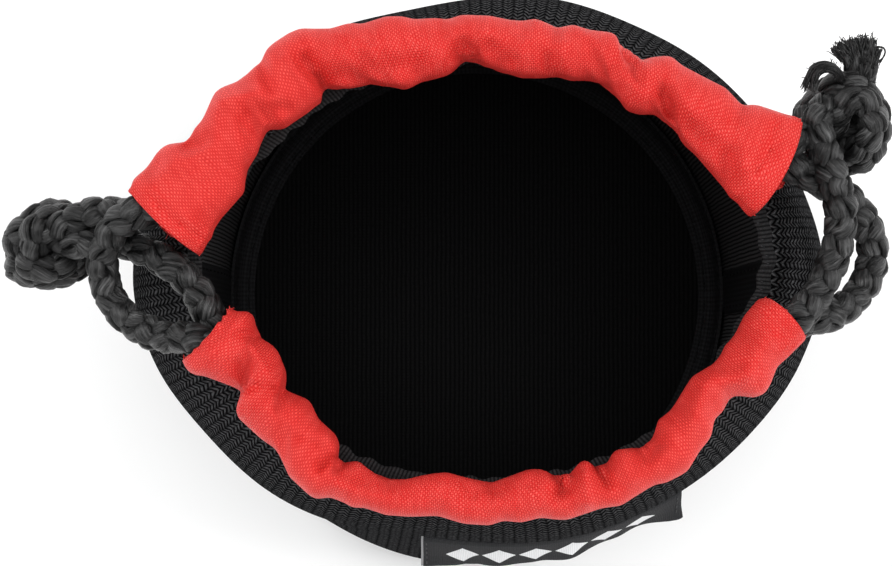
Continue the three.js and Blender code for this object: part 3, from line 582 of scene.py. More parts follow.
def strip(inner, outer, n):
    """Both edges of a channel at n stations."""
    a, b = resample(np.array(inner, float), n), resample(np.array(outer, float), n)
    return a, b


def channel_line(inner, outer, z, count=15, skip=1):
    a, b = strip(inner, outer, count)
    mid = (a + b) / 2
    return [(x, y, z) for x, y in mid[skip:-skip]]


def reverse(points):
    return list(points)[::-1]


CORD_STEP = 0.4


def soften(P):
    """The same route without its sharpest bends."""
    for _ in range(8):
        P[1:-1] = 0.25 * P[:-2] + 0.5 * P[1:-1] + 0.25 * P[2:]
    return P


left_cord = spline(reverse(LEFT_KNOT_A) + LEFT_TAIL_BACK + channel_line(BACK_IN, BACK_OUT, LOWER)
                   + LEFT_CORD_RIGHT_CROSSING + reverse(channel_line(FRONT_IN, FRONT_OUT, LOWER))
                   + LEFT_TAIL_FRONT + LEFT_KNOT_B, CORD_STEP)
right_cord = spline(reverse(RIGHT_KNOT_A) + RIGHT_TAIL_FRONT + reverse(channel_line(FRONT_IN, FRONT_OUT, UPPER))
                    + reverse(RIGHT_CORD_LEFT_CROSSING) + channel_line(BACK_IN, BACK_OUT, UPPER)
                    + RIGHT_TAIL_BACK + RIGHT_KNOT_B, CORD_STEP)
left_cord, right_cord = soften(left_cord), soften(right_cord)


def nearest(P, point, lo=0, hi=None):
    hi = len(P) if hi is None else hi
    return lo + int(np.argmin(np.linalg.norm(P[lo:hi] - np.array(point), axis=1)))


class Braid:
    """Eight flat strands, four each way, over and under by turns, laid round a line."""
    PITCH, RADIUS, LIFT, WIDTH, THICK, SIDES = 18.5, 1.12, 0.40, 2.02, 1.02, 16

    def __init__(self, P, seed, tight=()):
        self.P, self.seed = P, seed
        self.s = np.r_[0, np.cumsum(np.linalg.norm(np.diff(P, axis=0), axis=1))]
        T, N, B = frames(P)
        s = self.s
        size = 1 + 0.05 * wave(s, seed, 9.0) + 0.03 * wave(s, seed + 1, 3.7)
        for lo, hi, less in tight:       # squeezed where it is knotted or runs inside a channel
            inside = smoothstep((s - s[lo]) / 3.0) * smoothstep((s[hi] - s) / 3.0)
            size = size * (1 - less * inside)
        turn = 0.5 * wave(s, seed + 2, 30.0)
        self.strands = []
        for way in (1, -1):
            for k in range(4):
                own = seed + 10 + 4 * (way + 1) + k
                angle = way * 2 * np.pi * s / self.PITCH + k * np.pi / 2 + turn + 0.10 * wave(s, own, 5.0)
                over = np.cos(8 * np.pi * s / self.PITCH) * way
                lift = self.LIFT * np.tanh(1.6 * over) / 0.92
                r = (self.RADIUS + lift * (1 + 0.25 * wave(s, own + 50, 6.0))) * size
                out = np.cos(angle)[:, None] * N + np.sin(angle)[:, None] * B
                C = P + r[:, None] * out
                w = self.WIDTH / 2 * size * (1 + 0.11 * wave(s, own + 90, 4.3)) * (1 + 0.16 * over)
                t = self.THICK / 2 * size * (1 + 0.12 * wave(s, own + 130, 5.1)) * (1 + 0.10 * over)
                self.strands.append((C, out, w, t, own))

    def build(self, name, lo, hi):
        shape = Shape()
        a = np.arange(self.SIDES) / self.SIDES * 2 * np.pi
        ca, sa = np.cos(a), np.sin(a)
        for C, out, w, t, own in self.strands:
            sl = slice(lo, hi + 1)
            P, O, W, H = C[sl], out[sl], w[sl].copy(), t[sl].copy()
            T = unit(np.gradient(C, axis=0))[sl]
            up = unit(O - T * (O * T).sum(1, keepdims=True))
            side = np.cross(T, up)
            # a flat bundle with a soft crown and a few deeper lines between its filaments
            ribs = 1 + 0.05 * np.sin(4 * a[None, :] + own + 1.5 * wave(self.s[sl], own + 7, 6.0)[:, None])
            ex, ey = np.sign(ca) * np.abs(ca) ** 0.9, np.sign(sa) * np.abs(sa) ** 0.8
            ring = (P[:, None] + side[:, None] * (W[:, None] * ex[None, :] * ribs)[..., None]
                    + up[:, None] * (H[:, None] * ey[None, :] * ribs)[..., None])
            s = self.s[sl]
            u = np.arange(self.SIDES + 1) / self.SIDES * 5.0 + own * 10.0     # one turn of the strand is 5 of 10 units
            UV = np.stack(np.broadcast_arrays(u[None, :], s[:, None]), -1)
            base = shape.grid(ring, UV, wrap=True)
            n = len(P)
            shape.fan(base + np.arange(self.SIDES), P[0] - T[0] * 0.15, uv=(own * 10.0 + 1.25, s[0]))
            shape.fan(base + (n - 1) * self.SIDES + np.arange(self.SIDES), P[-1] + T[-1] * 0.15, uv=(own * 10.0 + 1.25, s[-1]), flip=True)
        return shape.make(name, [CORD])


def tuft(name, bundles, seed, body, neck=0.0):
    """The loose filaments of a cut cord end. Each bundle is (line, filaments, width at its root, width at its tip,
    reach of the longest filaments past the tip, short hairs along it). Over the first part, the neck, only its plies show."""
    shape = Shape()
    r = np.random.default_rng(seed)
    for k, (points, count, w0, w1, reach, hairs) in enumerate(bundles):
        P = spline(points, 0.3)
        T, N, B = frames(P)
        n = len(P)
        q = np.linspace(0, 1, n)
        for c in range(3):         # the heart of the bundle, three loose plies
            a = (2.6 + 3.4 * (neck > 0)) * q + c * 2.094 + k
            heart = P + (np.cos(a)[:, None] * N + np.sin(a)[:, None] * B) * w0 * (0.26 if neck else 0.20)
            stop = max(int(n * 0.8), 3)
            shape.tube(heart[:stop], (w0 * 0.29 * (1 - 0.35 * q ** 2))[:stop], sides=9, v0=c * 2.0 + k * 5.0)
        for f in range(count):
            first, last = int(n * neck * 0.9) + int(r.integers(0, max(n // 3, 1))), n - 1 - int(min(r.exponential(0.08), 0.5) * n)
            first = min(first, n - 6)
            last = max(last, first + 4)
            a = r.uniform(0, 6.283) + r.normal() * 1.1 * q
            tip = w1 * r.uniform(0.75, 1.2)
            width = (w0 + (tip - w0) * q ** 1.5) / 2 * (0.25 + 0.75 * r.random() ** 0.5)
            wob = (0.16 if neck else 0.07) * np.sin(q * r.uniform(4, 9) + r.uniform(0, 6.283))
            line = P + (np.cos(a)[:, None] * N + np.sin(a)[:, None] * B) * (width + wob)[:, None]
            line = line[first:last + 1]
            more = reach * r.random() ** 2.2
            way = unit(line[-1] - line[max(len(line) - 4, 0)])
            bend = unit(r.normal(size=3)) * 0.9
            e = np.linspace(0.2, 1, 4)[:, None]
            line = np.concatenate([line, line[-1] + way * more * e + bend * more * e * e])
            shape.tube(line, 0.062, sides=4, v0=f * 1.7)
        for f in range(hairs):
            at = int(r.integers(1, n - 1))
            side = r.normal(size=3)
            side = unit(side - T[at] * (side * T[at]).sum())
            way = unit(side + T[at] * r.uniform(-0.2, 1.1))
            l = r.uniform(0.4, 1.1)
            e = np.linspace(0, 1, 6)[:, None]
            shape.tube(P[at] + side * w0 * 0.35 + way * l * e + unit(r.normal(size=3)) * 0.35 * l * e * e, 0.055, sides=4, v0=f * 1.3)
    piece = shape.make(name, [FRAY])
    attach(piece, body)
    return piece


def place(piece, *nodes):
    if nodes:
        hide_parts(*nodes)
    return piece


# where each cord is divided: inside the channels, where the two stretches move alike
nl, nr = len(left_cord), len(right_cord)
L1 = nearest(left_cord, (-34.0, 11.0, LOWER), 0, nl // 2)
L2 = nearest(left_cord, (33.2, 14.8, LOWER), 0, nl // 2)
L3 = nearest(left_cord, (33.8, -9.8, LOWER), nl // 3)
L4 = nearest(left_cord, (-30.5, -11.2, LOWER), nl // 2)
R1 = nearest(right_cord, (33.8, -9.8, UPPER), 0, nr // 2)
R2 = nearest(right_cord, (-30.5, -11.2, UPPER), 0, nr // 2 + 60)
R3 = nearest(right_cord, (-35.5, 11.4, UPPER), nr // 3)
R4 = nearest(right_cord, (29.6, 17.2, UPPER), nr // 2)
left_braid = Braid(left_cord, 100, tight=((0, nearest(left_cord, (-49.0, 6.7, 86.1), 0, nl // 2), 0.13),
                                          (nearest(left_cord, (-48.6, 3.2, 85.5), nl // 2), nl - 1, 0.13),
                                          (L1, L2, 0.20), (L3, L4, 0.20)))
right_braid = Braid(right_cord, 300, tight=((0, nearest(right_cord, (42.0, 16.0, 89.3), 0, 60 + nr // 8), 0.10),
                                            (nearest(right_cord, (42.3, 17.3, 85.6), nr // 2), nr - 1, 0.10),
                                            (R1, R2, 0.20), (R3, R4, 0.20)))

left_back_tail = place(left_braid.build("left_drawcord_back_tail", 0, L1),
                       "left_knot", "left_cord_back_tail", "left_cord_end_a")
left_front_tail = place(left_braid.build("left_drawcord_front_tail", L4, nl - 1),
                        "left_cord_front_tail", "left_cord_end_b")
left_back_run = place(left_braid.build("left_drawcord_in_back_channel", L1, L2), "left_cord_back_run")
left_front_run = place(left_braid.build("left_drawcord_in_front_channel", L3, L4), "left_cord_front_run")
left_crossing = place(left_braid.build("left_drawcord_right_loop", L2, L3), "left_cord_crossing")
right_front_tail = place(right_braid.build("right_drawcord_front_tail", 0, R1),
                         "right_knot", "right_cord_front_tail", "right_cord_end_a")
right_back_tail = place(right_braid.build("right_drawcord_back_tail", R4, nr - 1),
                        "right_cord_back_tail", "right_cord_end_b")
right_front_run = place(right_braid.build("right_drawcord_in_front_channel", R1, R2), "right_cord_front_run")
right_back_run = place(right_braid.build("right_drawcord_in_back_channel", R3, R4), "right_cord_back_run")
right_crossing = place(right_braid.build("right_drawcord_left_loop", R2, R3), "right_cord_crossing")

for piece in (left_back_tail, left_front_tail):
    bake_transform(piece)
for piece in (right_back_tail, right_front_tail):
    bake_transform(piece)
for piece in (left_back_run, right_back_run):
    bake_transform(piece)
for piece in (left_front_run, right_front_run):
    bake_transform(piece)
for piece in (left_crossing, right_crossing):
    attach(piece, "pouch")


left_fray_a = tuft("left_drawcord_cut_end_a", [([(-57.5, 3.0, 73.2), (-57.8, 3.2, 71.6), (-58.0, 3.5, 70.0)], 70, 2.3, 2.8, 1.1, 8),
                                               ([(-58.2, 3.5, 73.0), (-58.9, 3.6, 71.6), (-59.4, 3.4, 70.4)], 30, 1.1, 1.7, 1.0, 8)],
                   61, "left_pull")
left_fray_b = tuft("left_drawcord_cut_end_b", [([(-54.3, 2.1, 73.2), (-54.1, 2.6, 71.5), (-53.9, 3.1, 70.0)], 70, 2.3, 2.8, 1.1, 8),
                                               ([(-54.5, 2.7, 73.0), (-54.9, 3.6, 71.6), (-55.0, 4.2, 70.5)], 30, 1.1, 1.7, 1.0, 8)],
                   62, "left_pull")
right_fray_a = tuft("right_drawcord_cut_end_a", [([(46.2, 23.0, 84.6), (46.1, 24.4, 86.0), (45.9, 25.7, 86.9), (45.0, 26.9, 87.2), (44.3, 27.7, 87.2)], 100, 1.7, 2.0, 0.40, 6),
                                                 ([(46.9, 23.2, 84.6), (47.0, 24.6, 86.2), (46.7, 26.0, 87.0), (46.3, 27.6, 87.2), (46.2, 28.4, 87.2)], 120, 1.8, 2.2, 0.45, 4),
                                                 ([(47.8, 23.3, 84.6), (48.0, 24.7, 86.2), (48.0, 26.2, 87.0), (48.0, 27.8, 87.3), (48.1, 28.6, 87.2)], 120, 1.8, 2.2, 0.45, 4),
                                                 ([(48.4, 23.1, 84.2), (48.8, 24.5, 85.6), (48.8, 26.0, 86.4), (49.2, 27.4, 86.7)], 80, 1.6, 1.6, 0.40, 6),
                                                 ([(49.3, 27.6, 86.8), (50.1, 27.5, 86.9), (50.4, 26.9, 86.8), (50.0, 26.1, 86.5), (49.5, 25.5, 86.2)], 6, 0.25, 0.2, 0.3, 0)],
                    63, "right_pull", neck=0.58)
right_fray_b = tuft("right_drawcord_cut_end_b", [([(45.0, 22.9, 87.2), (44.3, 24.0, 88.9), (43.3, 24.7, 89.7), (42.2, 24.8, 89.9), (41.3, 24.3, 89.8), (40.8, 23.3, 89.4),
                                                   (40.5, 22.1, 89.0)], 110, 1.0, 2.0, 0.45, 60)],
                    64, "right_pull")


# ---- wall -------------------------------------------------------------------------------------
DEG = np.linspace(0, 360, 481)
belly_line = np.stack([outer_r(DEG, np.full(481, BELLY_Z)) * np.cos(np.radians(DEG)),
                       outer_r(DEG, np.full(481, BELLY_Z)) * np.sin(np.radians(DEG))], 1)
ROUND = np.r_[0, np.cumsum(np.linalg.norm(np.diff(belly_line, axis=0), axis=1))]
ROUND = ROUND / ROUND[-1] * 1.5 * 170      # a whole number of wales


def soft_wave(deg, z):
    """Slack in the wall: long shallow swells, and short puckers just under the sewn rim."""
    a = np.radians(deg)
    long = 0.22 * np.sin(3 * a + 0.6 + z / 23) + 0.16 * np.sin(7 * a + 2.0 - z / 17)
    pucker = 0.16 * np.sin(58 * a + 1.3 * np.sin(5 * a)) + 0.13 * np.sin(37 * a + 2 * np.sin(3 * a))
    up = smoothstep((z - 72) / 13)
    return long * smoothstep((z - 4) / 20) * (1 - up) + pucker * up


def wall_point(deg, z, inset):
    """A point of the wall, inset from its outside."""
    r = outer_r(deg, z) + soft_wave(deg, z) - inset
    down = np.clip(FOOT_ROUND - z, 0, FOOT_ROUND)
    r = r - (FOOT_ROUND - np.sqrt(np.maximum(FOOT_ROUND ** 2 - down ** 2, 0))) * (inset < 1.5)
    a = np.radians(deg)
    return np.stack([r * np.cos(a), r * np.sin(a), z + 0 * r], -1)


def build_wall(name, lo, hi, node):
    shape, lining = Shape(), Shape()
    cols = np.arange(lo, hi + 1)
    deg, u = DEG[cols], ROUND[cols]
    levels = np.r_[0.0, 0.25, 0.6, 1.1, 2.0, np.linspace(3.2, 84.6, 62)]
    rim_a = np.linspace(0, np.pi, 11)[1:-1]
    c, s = np.cos(rim_a), np.sin(rim_a)
    over = [(84.6 + 1.4 * sn ** 0.7, 1.5 - 1.5 * np.sign(cs) * abs(cs) ** 0.6) for cs, sn in zip(c, s)]
    outer = np.stack([wall_point(deg, np.full(len(deg), z), 0.0) for z in levels])
    inner = np.stack([wall_point(deg, np.full(len(deg), z), 3.0) for z in levels])
    top = np.stack([wall_point(deg, np.full(len(deg), min(z, 86.0)), i) for z, i in over])
    v_out = np.r_[0, np.cumsum(np.linalg.norm(np.diff(outer[:, 0], axis=0), axis=1))]

    def uv(rows):
        return np.stack(np.broadcast_arrays(u[None, :], np.asarray(rows)[:, None]), -1)

    shape.grid(outer, uv(v_out), mat=0, flip=True)
    rim = np.concatenate([outer[-1:], top, inner[-1:]])
    rim_v = v_out[-1] + np.r_[0, np.cumsum(np.linalg.norm(np.diff(rim[:, 0], axis=0), axis=1))]
    shape.grid(rim[:5], uv(rim_v[:5]), mat=0, flip=True)
    # the inner half of the rim gets the darker copy of the rib material: painted shade
    shape.grid(rim[4:], uv(rim_v[4:]), mat=3, flip=True)
    # the inner face gets the lighter copy of the rib material: painted light
    lining.grid(inner[::-1], uv(v_out[::-1] + 10), mat=1, flip=True)
    shape.grid(np.stack([inner[0], (inner[0] + outer[0]) / 2, outer[0]]), uv([0, 1.5, 3]), mat=0, flip=True)
    for k, flip in ((0, False), (len(cols) - 1, True)):      # the two butted ends
        end = np.stack([outer[:, k], inner[:, k]], 1)
        shape.grid(end, np.zeros(end.shape[:2] + (2,)), mat=2, flip=flip)
    piece = shape.make(name, [KNIT, RIB_PAINTED_LIGHT, FOAM, RIM_PAINTED_SHADE])
    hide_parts(node)
    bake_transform(piece)
    # the inner face is 3 mm nearer the middle, so that the wall keeps its thickness
    face = lining.make(name + "_inner_face", [KNIT, RIB_PAINTED_LIGHT, FOAM, RIM_PAINTED_SHADE])
    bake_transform(face)


build_wall("back_wall", 0, 240, "back_panel")
build_wall("front_wall", 240, 480, "front_panel")


def dashes(shape, line, pitch, radius, lift=None, duty=0.72, mat=0, sink=0.12):
    """A row of straight stitches along a line."""
    s = np.r_[0, np.cumsum(np.linalg.norm(np.diff(line, axis=0), axis=1))]
    for k in range(int(s[-1] / pitch)):
        a, b = (k + 0.14) * pitch, (k + 0.14 + duty) * pitch
        x = np.linspace(a, min(b, s[-1]), 6)
        P = np.stack([np.interp(x, s, line[:, i]) for i in range(3)], 1)
        if lift is not None:
            L = np.stack([np.interp(x, s, lift[:, i]) for i in range(3)], 1)
            h = np.sin(np.linspace(0, np.pi, 6)) ** 0.5 * sink * 1.6 - sink
            P = P + L * h[:, None]
        shape.tube(P, radius, sides=6, mat=mat)


def build_rim_seam(name, lo, hi):
    """Small dark stitches beside the side seams, where the knit folded over the rim meets the inner face."""
    shape = Shape()
    r = np.random.default_rng(40 + lo)
    start, stop = ROUND[lo], ROUND[hi]
    for k in range(int((stop - start) / 1.3)):
        u = start + (k + 0.5) * 1.3 + r.normal() * 0.15
        if abs((np.interp(u, ROUND, DEG) + 90) % 180 - 90) > 15:
            continue
        j = r.normal(size=4) * 0.16
        pts = []
        for du, z, inset in ((0.0, 86.0, 1.75 + j[0]), (0.22, 85.95, 2.15), (0.4, 85.6, 2.62), (0.55, 85.0 + j[1], 2.95)):
            d = np.interp(u + du + j[2] * 0.5, ROUND, DEG)
            pts.append(wall_point(np.array([d]), np.array([z]), inset)[0])
        shape.tube(spline(pts, 0.35), 0.11, sides=6, v0=k * 3.0)
    piece = shape.make(name, [BLACK_THREAD])
    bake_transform(piece)


build_rim_seam("back_rim_stitches", 0, 240)
build_rim_seam("front_rim_stitches", 240, 480)

# ---- red channels -------------------------------------------------------------------------------
def push_out(X, cords, radius):
    """Moves points out of the cords."""
    flat = X.reshape(-1, 3)
    for C in cords:
        d = flat[:, None, :] - C[None, :, :]
        d2 = (d * d).sum(-1)
        k = d2.argmin(1)
        near = d2[np.arange(len(flat)), k] < radius * radius
        if near.any():
            v = flat[near] - C[k[near]]
            l = np.maximum(np.linalg.norm(v, axis=1, keepdims=True), 1e-4)
            flat[near] = C[k[near]] + v / l * radius
    return flat.reshape(X.shape)


def ease(X, ds, dt, fixed, cords, target, hold, rounds, hand):
    """Lets a cloth tube X[n, m, 3] take its own lengths, ds along and dt[n] around, near a target shape."""
    n, m = X.shape[:2]
    V = np.zeros_like(X)
    w = np.where(fixed, 0.0, 1.0)[..., None]
    dt = np.broadcast_to(dt[:, None], (n, m))
    diag = np.sqrt(ds ** 2 + dt[:-1] ** 2)

    def pull(a, b, rest, k):
        """a and b are index tuples of equal-sized views that share no point."""
        d = X[b] - X[a]
        l = np.maximum(np.sqrt((d * d).sum(-1, keepdims=True)), 1e-5)
        wa, wb = w[a], w[b]
        c = d * (k * (1 - rest[..., None] / l) / np.maximum(wa + wb, 1e-6))
        X[a] += c * wa
        X[b] -= c * wb

    S = slice
    rows = np.arange(m)
    for it in range(rounds):
        cool = 1 - it / rounds
        E1 = np.roll(X, -1, 1) - np.roll(X, 1, 1)
        E0 = np.empty_like(X)
        E0[1:-1] = X[2:] - X[:-2]
        E0[0], E0[-1] = X[1] - X[0], X[-1] - X[-2]
        N = unit(np.cross(E1, E0)) * hand
        old = X.copy()
        X += V * 0.86 * w + N * (0.022 + 0.012 * cool) * w + np.array((0, 0, -0.004)) * w
        X += (target - X) * hold[..., None] * w
        for _ in range(3):
            for o in (0, 1):
                a, b = (S(o, n - 1, 2),), (S(o + 1, n, 2),)
                q = min(len(range(o, n - 1, 2)), len(range(o + 1, n, 2)))
                a, b = (S(o, o + 2 * q, 2),), (S(o + 1, o + 1 + 2 * q, 2),)
                pull(a, b, np.full((q, m), ds), 0.9)
                ia, ib = rows[o::2], (rows[o::2] + 1) % m
                pull((S(None), ia), (S(None), ib), dt[:, ia], 0.9)
                for step in (1, -1):
                    pull((S(o, o + 2 * q, 2), rows), (S(o + 1, o + 1 + 2 * q, 2), (rows + step) % m),
                         diag[o:o + 2 * q:2][:, rows], 0.35)
            for o in (0, 1, 2, 3):      # resists sharp bends
                q = len(range(o, n - 2, 4))
                if q:
                    q = min(q, len(range(o + 2, n, 4)))
                    pull((S(o, o + 4 * q, 4),), (S(o + 2, o + 2 + 4 * q, 4),), np.full((q, m), 2 * ds * 0.985), 0.16)
                ia = rows[o::4]
                pull((S(None), ia), (S(None), (ia + 2) % m), 2 * dt[:, ia] * 0.97, 0.10)
        if it % 2 == 0:
            X[:] = np.where(fixed[..., None], X, push_out(X.copy(), cords, 2.1))
        V = X - old
        l = np.linalg.norm(V, axis=-1, keepdims=True)
        V *= np.minimum(1, 0.25 / np.maximum(l, 1e-6))
    return X


def refine(X):
    """Twice as many rows and columns, on a smooth surface."""
    n, m = X.shape[:2]
    P = np.concatenate([2 * X[:1] - X[1:2], X, 2 * X[-1:] - X[-2:-1]])
    Y = np.empty((2 * n - 1, m) + X.shape[2:])
    Y[::2] = X
    Y[1::2] = (-P[:-3] + 9 * P[1:-2] + 9 * P[2:-1] - P[3:]) / 16
    Z = np.empty((2 * n - 1, 2 * m) + X.shape[2:])
    Z[:, ::2] = Y
    Z[:, 1::2] = (-np.roll(Y, 1, 1) + 9 * Y + 9 * np.roll(Y, -1, 1) - np.roll(Y, -2, 1)) / 16
    return Z


def smooth_line(P, width, step):
    """An even line without its details shorter than width."""
    k = max(int(width / step), 1)
    x = np.arange(-2 * k, 2 * k + 1)
    g = np.exp(-0.5 * (x / k) ** 2)
    g /= g.sum()
    Q = np.concatenate([2 * P[:1] - P[1:2 * k + 1][::-1], P, 2 * P[-1:] - P[-2 * k - 1:-1][::-1]])
    return np.stack([np.convolve(Q[:, i], g, "valid") for i in range(P.shape[1])], 1)


def bell(t, at, width):
    """1 at an angle and 0 beyond width on either side of it."""
    d = np.abs((t - at + np.pi) % (2 * np.pi) - np.pi)
    return smoothstep(1 - d / width)


EYE = np.array((-4.5625, -20.2558, 505.5157))


def outline_reach(P, way, guess, line):
    """How far it is from each P along its way to the outline, near the guess."""
    a, d = line[:-1], np.diff(line, axis=0)
    det = way[:, None, 0] * d[None, :, 1] - way[:, None, 1] * d[None, :, 0]
    det = np.where(np.abs(det) < 1e-6, 1e-6, det)
    w = a[None] - P[:, None]
    t = (w[..., 0] * d[None, :, 1] - w[..., 1] * d[None, :, 0]) / det
    u = (w[..., 0] * way[:, None, 1] - w[..., 1] * way[:, None, 0]) / det
    good = (u >= -0.02) & (u <= 1.02) & (np.abs(t - guess[:, None]) < 2.6)
    best = np.where(good, t, -9).max(1)
    return np.where(best > 0, best, guess)


def build_channel(name, inner, outer, outline_in, outline_out, folds, node, cords, seed, end_bulge, gather=1.015, depth=1.0):
    a0, b0 = np.array(inner, float), np.array(outer, float)
    length = (np.linalg.norm(np.diff(resample(a0, 60), axis=0), axis=1).sum()
              + np.linalg.norm(np.diff(resample(b0, 60), axis=0), axis=1).sum()) / 2
    n, m = int(length / 0.62), 44
    step = length / (n - 1)
    A, B = resample(a0, n), resample(b0, n)
    A, B = smooth_line(A, 0.5, step), smooth_line(B, 0.5, step)
    SA, SB = smooth_line(A, 3.6, step), smooth_line(B, 3.6, step)
    across = unit(SB - SA)
    dev_in = np.clip(-((A - SA) * across).sum(1), -2.0, 2.0)
    dev_out = np.clip(((B - SB) * across).sum(1), -2.0, 2.0)
    mid, half = (A + B) / 2, np.linalg.norm(B - A, axis=1) / 2
    cross = unit(B - A)
    x = np.arange(n) * step
    near_end = np.exp(-np.minimum(x, x[-1] - x) / 7.0)
    round_mm = 28.5 + 3.5 * near_end
    wide = smooth_line(np.stack([half, half], 1), 3.0, step)[:, 0]
    tall = np.clip(np.sqrt(np.maximum(2 * (round_mm / 2 / np.pi) ** 2 - wide ** 2, 1)), 4.3, 4.75)
    t = np.arange(m) / m * 2 * np.pi        # 0 outer edge, 90 top, 180 inner edge, 270 sewn line
    ct, st = np.cos(t), np.sin(t)
    X = np.zeros((n, m, 3))
    X[..., :2] = mid[:, None] + cross[:, None] * (half[:, None] * np.sign(ct) * np.abs(ct) ** 0.92)[..., None]
    X[..., 2] = 86.35 + tall[:, None] * (1 + np.sign(st) * np.abs(st) ** 0.88)
    fold = (dev_in[:, None] * bell(t, 2.45, 1.25)[None, :] + dev_out[:, None] * bell(t, 0.75, 1.15)[None, :]) * 1.3
    roll = 0.30 * wave(x, seed, 8.0)[:, None] * bell(t, 1.57, 1.4)[None, :]
    X[..., 2] += fold + roll
    T0, T1 = unit(mid[0] - mid[4]), unit(mid[-1] - mid[-5])
    for T, far, amount in ((T0, x, end_bulge[0]), (T1, x[-1] - x, end_bulge[1])):
        X[..., :2] += (T[None, :] * (amount * np.exp(-far / 4.0))[:, None])[:, None, :] * (np.abs(st) ** 1.2)[None, :, None]
    target = X.copy()
    ring = np.linalg.norm(np.roll(X, -1, 1) - X, axis=-1).sum(1)
    soft_ring = np.convolve(np.pad(ring, 8, mode="edge"), np.ones(17) / 17, "valid")
    dt = (0.5 * ring + 0.5 * soft_ring) * 1.012 / m
    ds = gather * length / (n - 1)
    fixed = np.zeros((n, m), bool)
    fixed[:, np.abs(t - 1.5 * np.pi) < 0.20] = True
    hold = np.full((n, m), 0.030)
    hold[:, np.abs(ct) > 0.93] = 0.25
    hold = hold + 0.10 * np.exp(-np.minimum(x, x[-1] - x) / 2.0)[:, None]
    bias = wave(x, seed + 3, 5.2)[:, None] * 0.25 * np.sin(t)[None, :] + wave(x, seed + 4, 4.2)[:, None] * 0.18 * np.cos(2 * t + 1)[None, :]
    X[..., 2] += np.where(fixed, 0, bias)
    hand = 1.0 if np.cross((0, 0, 1.0), (*unit(mid[-1] - mid[0]), 0)) @ (*across[n // 2], 0) > 0 else -1.0
    X = ease(X, ds, dt, fixed, cords, target, hold, 90, hand)
    for _ in range(2):      # the even little ripples along the rows go, the folds stay
        X[1:-1] = np.where(fixed[1:-1, :, None], X[1:-1], 0.25 * X[:-2] + 0.5 * X[1:-1] + 0.25 * X[2:])
    Y = refine(X)
    n2, m2 = Y.shape[:2]
    # each ring reaches exactly as far in and out as the finer outlines say, and its top rises and dips with them
    at, t2 = np.linspace(0, n - 1, n2), np.arange(m2) / m2 * 2 * np.pi
    mid2 = np.stack([np.interp(at, np.arange(n), mid[:, i]) for i in (0, 1)], 1)
    cross2 = unit(np.stack([np.interp(at, np.arange(n), cross[:, i]) for i in (0, 1)], 1))
    half2 = np.interp(at, np.arange(n), half)
    q = ((Y[..., :2] - mid2[:, None]) * cross2[:, None]).sum(-1)
    for sign, line, top in ((1, outline_out, 0.75), (-1, outline_in, 2.40)):
        want = outline_reach(mid2, cross2 * sign, half2, np.array(line, float)) + 0.12
        want = smooth_line(np.stack([want, want], 1), 0.3, 0.3)[:, 0]
        reach = np.maximum((q * sign).max(1), 0.5)
        grow = np.clip(want / reach, 0.72, 1.45)
        share = 0.97 * smoothstep(q * sign / want[:, None] / 0.85)
        Y[..., :2] += (q * share * (grow[:, None] - 1))[..., None] * cross2[:, None]
        dev = np.clip(want - smooth_line(np.stack([want, want], 1), 3.0, step / 2)[:, 0], -1.5, 1.5)
        Y[..., 2] += 0.9 * dev[:, None] * bell(t2, top, 1.2)[None, :]
    # the sharp folds of the upper side, laid on along the line of sight
    upper = smoothstep((np.sin(np.arange(m2) / m2 * 2 * np.pi) + 0.45) / 0.7)[None, :]
    seen = EYE[:2] + (Y[..., :2] - EYE[:2]) * ((EYE[2] - 94.0) / (EYE[2] - Y[..., 2]))[..., None]
    for x1, y1, x2, y2, sigma, height in folds:
        p1, along = np.array((x1, y1)), np.array((x2 - x1, y2 - y1))
        part = np.clip(((seen - p1) @ along) / (along @ along), 0, 1)
        off = np.linalg.norm(seen - p1 - part[..., None] * along, axis=-1)
        Y[..., 2] += (depth if height > 0 else 1.0) * (1.35 if sigma > 0.5 else 1.0) * height * np.exp(-0.5 * (off / sigma) ** 2) * upper
    Y = push_out(Y, cords, 2.0)
    UV = np.stack(np.broadcast_arrays(np.interp(np.arange(n2), np.arange(n) * 2, np.arange(n) * ds)[:, None],
                                      (np.arange(m2 + 1) * np.mean(dt) / 2)[None, :]), -1)
    E1 = np.roll(Y, -1, 1) - np.roll(Y, 1, 1)
    E0 = np.gradient(Y, axis=0)
    N = unit(np.cross(E1, E0)) * hand
    N = unit(N + np.roll(N, 1, 1) + np.roll(N, -1, 1))
    shape = Shape()
    both = np.concatenate([Y, (Y - N * 0.24)[::-1]])
    both_uv = np.concatenate([UV, UV[::-1] + (0.24, 0), UV[:1]])
    shape.grid(both, both_uv, wrap=True, closed=True, flip=hand > 0)
    # yarn ends that stand out of the two cut edges
    r = np.random.default_rng(seed + 9)
    for k, sign in ((0, -1), (n2 - 1, 1)):
        T = unit(Y[k] - Y[k - sign * 2])
        for j in range(m2):
            corner = abs(math.cos(j / m2 * 2 * math.pi)) > 0.975
            if r.random() > (0.6 if corner else 0.10):
                continue
            p = Y[k, j] - N[k, j] * 0.12 + (Y[k, (j + 1) % m2] - Y[k, j]) * r.random()
            way = unit(T[j] + r.normal(size=3) * 0.45)
            l = r.uniform(0.12, 0.38) * (2.2 if r.random() < (0.3 if corner else 0.05) else 1)
            q = np.linspace(0, 1, 4)[:, None]
            shape.tube(p - T[j] * 0.1 + way * l * q + r.normal(size=3) * 0.15 * l * q * q, 0.05, sides=4)
    # the sewing that holds the tube to the rim, on both its sides
    for side in (0, 1):
        j = int(m2 * (0.75 + (0.05 if side else -0.05))) % m2
        dashes(shape, Y[2:-2, j] + N[2:-2, j] * 0.03, 2.3, 0.13, lift=N[2:-2, j], mat=1)
    piece = shape.make(name, [RED, RED_THREAD])
    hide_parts(node)
    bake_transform(piece)
